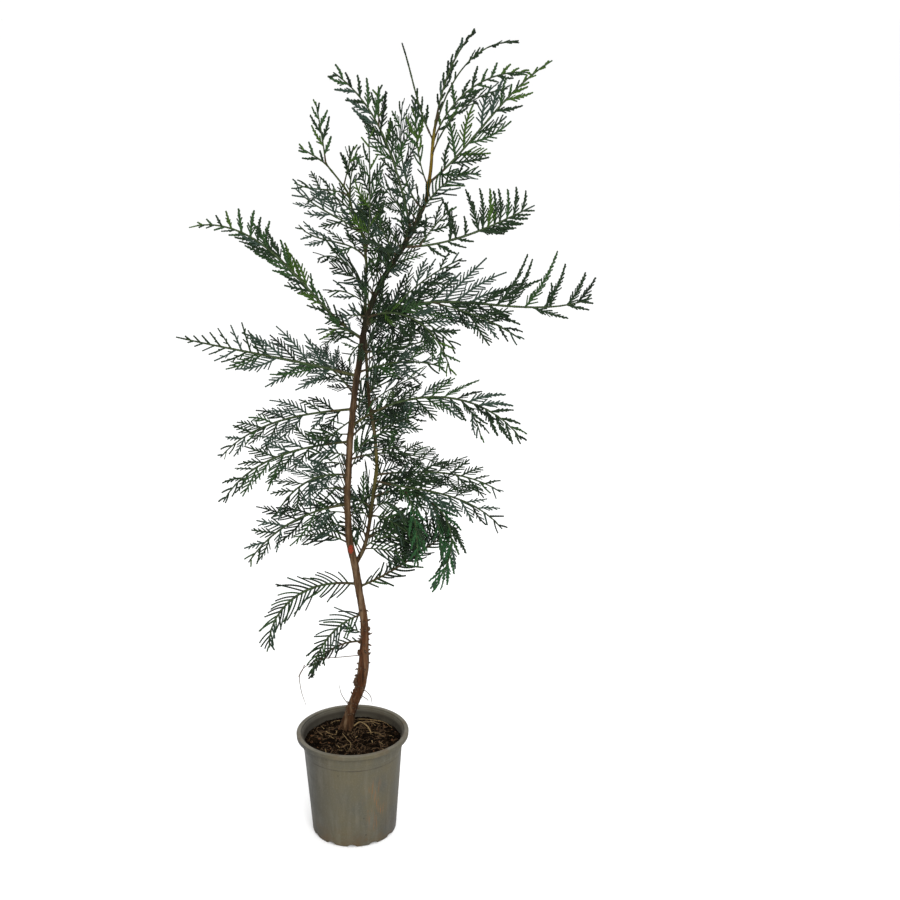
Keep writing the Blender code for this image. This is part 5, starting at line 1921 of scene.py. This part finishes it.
@dataclass
class Soil:
    """Lumpy peat that fills the pot, with crumbs, bark chips, fibres and straw lying on it.

    Each of the lumps has its cycles a millimetre, the place in its pattern and its height.
    """

    pot: Pot
    seed: int = 73
    level: float = 128.0
    floor: float = 5.0
    grid: int = 96
    gap: float = 0.6
    lumps: tuple[Point, ...] = ((0.075, 3.0, 2.4), (0.21, 9.0, 1.3), (0.62, 5.0, 0.7))
    mound: Pair = (3.2, 17.0)
    edge_fall: float = 1.6
    fibre_count: int = 230
    straw_count: int = 16
    trunk_place: Pair = (-9.0, 28.0)

    def radius(self) -> float:
        """Radius of the soil's top."""
        return self.pot.collar_radius - self.pot.wall - self.gap

    def surface(self, x: float, y: float) -> float:
        """Height of the soil's top.

        Args:
            x: the place's distance to the right of the pot's axis.
            y: its distance behind the axis.

        Returns:
            The height.
        """
        height = self.level - 0.6
        for cycles, place, rise in self.lumps:
            height += noise.noise(Vector((x * cycles, y * cycles, place))) * rise
        rise, reach = self.mound
        near = math.hypot(x - self.trunk_place[0], y - self.trunk_place[1])
        height += rise * math.exp(-((near / reach) ** 2))
        return height - self.edge_fall * (math.hypot(x, y) / self.radius()) ** 6

    def build(self) -> None:
        """Makes the soil and all that lies on it."""
        draw = np.random.default_rng(self.seed)
        self.make_plug()
        self.scatter(CRUMBS, draw)
        self.scatter(CHIPS, draw)
        self.make_fibres(draw)
        self.make_straw(draw)

    def make_plug(self) -> None:
        """The plug of peat: a grid rounded to a disc, raised into lumps, and drawn down to the floor."""
        deselect()
        bpy.ops.mesh.primitive_grid_add(x_subdivisions=self.grid, y_subdivisions=self.grid, size=2.0)
        plug = bpy.context.object
        plug.name = "peat_plug"
        radius = self.radius()
        for corner in plug.data.vertices:
            x, y = corner.co.x, corner.co.y
            corner.co.x = x * math.sqrt(1.0 - y * y / 2.0) * radius * MM
            corner.co.y = y * math.sqrt(1.0 - x * x / 2.0) * radius * MM
            corner.co.z = self.level * MM
        edit_all()
        foot_radius = self.pot.wall_radius(self.floor) - self.pot.wall - 3.4
        pull(self.floor - self.level, foot_radius / radius, self.floor)
        bpy.ops.mesh.dissolve_limited(angle_limit=math.radians(1.0))
        face_outwards()
        for corner in plug.data.vertices:
            if corner.co.z > (self.level - 1.0) * MM:
                corner.co.z = self.surface(corner.co.x / MM, corner.co.y / MM) * MM
        plug.data.shade_smooth()
        finish_piece(plug, PEAT, ("potting_soil",))

    def spot(self, draw: Draw, margin: float) -> Pair:
        """A random place on the soil.

        Args:
            draw: the seeded random numbers.
            margin: distance kept from the pot's wall.

        Returns:
            The place's x and y.
        """
        out = math.sqrt(draw.uniform()) * (self.radius() - margin)
        angle = draw.uniform(0.0, math.tau)
        return out * math.cos(angle), out * math.sin(angle)

    def scatter(self, litter: Litter, draw: Draw) -> None:
        """Copies of one small lump, each turned, stretched and dented its own way.

        Args:
            litter: the kind of lump.
            draw: the seeded random numbers.
        """
        shape, faces = self.lump(litter.subdivisions)
        corners, triangles = [], []
        for i in range(litter.count):
            size = litter.smallest + (litter.largest - litter.smallest) * draw.uniform() ** 2.2
            x, y = self.spot(draw, size)
            angles = (draw.uniform(-0.5, 0.5), draw.uniform(-0.5, 0.5), draw.uniform(0, 6.28))
            turn = np.array(Euler(angles).to_matrix())
            width, thickness = draw.uniform(0.45, 0.95), litter.flatness * draw.uniform(0.7, 1.3)
            stretch = np.array([1.0, width, thickness]) * size
            dents = 1.0 + draw.uniform(-0.22, 0.22, (len(shape), 1))
            height = self.surface(x, y) + stretch[2] * (0.5 - litter.sink)
            corners.append((shape * dents * stretch) @ turn.T + np.array([x, y, height]))
            triangles.append(faces + i * len(shape))
        piece = mesh_piece(litter.name, np.vstack(corners), np.zeros((0, 4), dtype=int), np.vstack(triangles))
        finish_piece(piece, litter.finish)

    @staticmethod
    def lump(subdivisions: int) -> tuple[Array, Array]:
        """A small ball, modelled once for all its copies.

        Args:
            subdivisions: how finely it is divided.

        Returns:
            Its corners and triangles, about 1 across.
        """
        deselect()
        bpy.ops.mesh.primitive_ico_sphere_add(subdivisions=subdivisions, radius=0.5)
        ball = bpy.context.object
        corners = np.array([corner.co[:] for corner in ball.data.vertices])
        faces = np.array([face.vertices[:] for face in ball.data.polygons])
        bpy.data.objects.remove(ball, do_unlink=True)
        return corners, faces

    def lying(self, places: tuple[Pair, ...], lift: tuple[float, ...]) -> list[Point]:
        """A route over the soil through places, with each point raised a little."""
        return [(x, y, self.surface(x, y) + rise) for (x, y), rise in zip(places, lift)]

    def fits(self, places: list[Pair], margin: float) -> bool:
        """Whether all the places keep a distance from the pot's wall."""
        return max(math.hypot(*place) for place in places) < self.radius() - margin

    def make_fibres(self, draw: Draw) -> None:
        """Thin curved fibres, lying in and on the peat.

        Args:
            draw: the seeded random numbers.
        """
        fibres = Strands()
        for _ in range(self.fibre_count):
            x, y = self.spot(draw, 7.0)
            angle, bend = draw.uniform(0.0, math.tau), draw.uniform(-1.3, 1.3)
            length = draw.uniform(5.0, 21.0)
            places = [(x, y)]
            for i in range(4):
                x += math.cos(angle + bend * i / 3) * length / 4
                y += math.sin(angle + bend * i / 3) * length / 4
                places.append((x, y))
            if self.fits(places, 1.5):
                thickness = draw.uniform(0.18, 0.5)
                lift = tuple(draw.uniform(0.1, 2.6, 5))
                fibres.add(self.lying(places, lift), (thickness, thickness, thickness * 0.5), fine=9)
        finish_piece(fibres.piece("peat_fibres", 5), FIBRE)

    def make_straw(self, draw: Draw) -> None:
        """Pale straw: a dry curl by the trunk, a few laid stalks, and short pieces round the pot.

        Args:
            draw: the seeded random numbers.
        """
        straw = Strands()
        for places, lift, radius, flatness in LAID_STRAW:
            straw.add(self.lying(places, lift), (radius, radius, radius * 0.4), flatness, fine=14)
        for _ in range(self.straw_count):
            x, y = self.spot(draw, 12.0)
            angle, length = draw.uniform(0.0, math.tau), draw.uniform(5.0, 13.0)
            right, back = math.cos(angle) * length, math.sin(angle) * length
            places = [(x + right * i / 3, y + back * i / 3) for i in range(4)]
            if self.fits(places, 2.0):
                lift = tuple(draw.uniform(0.6, 2.2, 4))
                straw.add(self.lying(places, lift), (draw.uniform(0.35, 0.8),) * 2, 0.35, fine=7)
        finish_piece(straw.piece("straw_litter", 6), STRAW)


# Straw laid on the soil: x and y along each stalk, its rise over the soil, half its width, and its flatness
LAID_STRAW = (
    (((0, 20), (8, 27), (17, 24), (22, 14), (23, 8)), (5, 8, 7, 3, 1), 1.3, 0.25),
    (((-37, 17), (-30, 11), (-22, 6)), (2, 2.2, 1.2), 0.8, 0.4),
    (((-32, 8), (-28, 1), (-24, -2)), (1.6, 1.8, 1), 0.7, 0.4),
    (((-14, 8), (-6, -9), (-1, -22), (-3, -38)), (2, 3, 2.4, 1), 0.55, 0.8),
    (((3, 51), (20, 46), (38, 40), (50, 28)), (2, 4, 3, 1), 0.5, 0.9),
    (((4, 46), (22, 38), (36, 37)), (1.5, 3.2, 1.5), 0.45, 0.9),
    (((-14, 46), (-26, 42), (-34, 34)), (1, 2.2, 1), 0.45, 0.9),
    (((35, -12), (38, -16), (40, -20)), (1.4, 1.6, 1.4), 0.7, 0.6),
    (((18, 12), (30, 10), (42, 0)), (1.8, 2.6, 1.6), 0.45, 0.9),
)


# Studio


@dataclass
class Studio:
    """A pale floor, soft light and the camera. Each lamp has its name, place, size and power."""

    camera_place: Point = (0.126, -1.748, 1.06)
    camera_pitch: float = 17.2
    lens: float = 60.0
    sensor: float = 36.0
    farthest: float = 50.0
    floor_size: float = 900.0
    floor_colour: Colour = (0.95, 0.95, 0.95)
    sky: Colour = (1.0, 1.0, 1.0)
    sky_strength: float = 1.06
    lamp_aim: Point = (0.05, 0.0, 0.45)
    lamps: tuple[tuple[str, Point, float, float], ...] = (
        ("key_lamp", (0.5, -2.3, 1.7), 1.4, 60.0), ("top_lamp", (0.5, 0.4, 2.9), 1.8, 12.0),
    )

    def build(self) -> None:
        """Sets the stage."""
        self.make_floor()
        self.make_lights()
        self.make_camera()
        bpy.context.scene.view_settings.view_transform = "Standard"

    def make_floor(self) -> None:
        """A wide pale floor under the pot."""
        deselect()
        bpy.ops.mesh.primitive_plane_add(size=self.floor_size, location=(0.0, 0.0, 0.0))
        floor = bpy.context.object
        floor.name = "studio_floor"
        recipe = Recipe("studio_floor_paint", 0.1)
        recipe.set(Base_Color=(*self.floor_colour, 1.0), Roughness=0.9)
        floor.data.materials.append(recipe.material)

    def make_lights(self) -> None:
        """An even pale sky, a large soft lamp in front and a weaker one above."""
        world = bpy.data.worlds.new("studio_sky")
        world.use_nodes = True
        background = world.node_tree.nodes["Background"]
        background.inputs["Color"].default_value = (*self.sky, 1.0)
        background.inputs["Strength"].default_value = self.sky_strength
        bpy.context.scene.world = world
        for name, place, size, power in self.lamps:
            bpy.ops.object.light_add(type="AREA", location=place)
            lamp = bpy.context.object
            lamp.name = name
            lamp.data.size = size
            lamp.data.energy = power
            aim = Vector(self.lamp_aim) - Vector(place)
            lamp.rotation_euler = aim.to_track_quat("-Z", "Y").to_euler()

    def make_camera(self) -> None:
        """The camera, level with the crown and looking a little down."""
        bpy.ops.object.camera_add(location=self.camera_place)
        camera = bpy.context.object
        camera.rotation_euler = Euler((math.radians(90.0 - self.camera_pitch), 0.0, 0.0))
        camera.data.lens = self.lens
        camera.data.sensor_width = self.sensor
        camera.data.clip_end = self.farthest
        bpy.context.scene.camera = camera


def main() -> None:
    """Builds every part of the plant and its pot, and the studio round it."""
    logging.basicConfig(level=logging.INFO, format="%(name)s %(message)s")
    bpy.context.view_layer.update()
    stems = Stems()
    crown = Crown(stems)
    axes = crown.plan()
    stems.build(axes)
    crown.build(axes)
    pot = Pot()
    pot.build()
    Soil(pot).build()
    Studio().build()


if __name__ == "__main__":
    main()
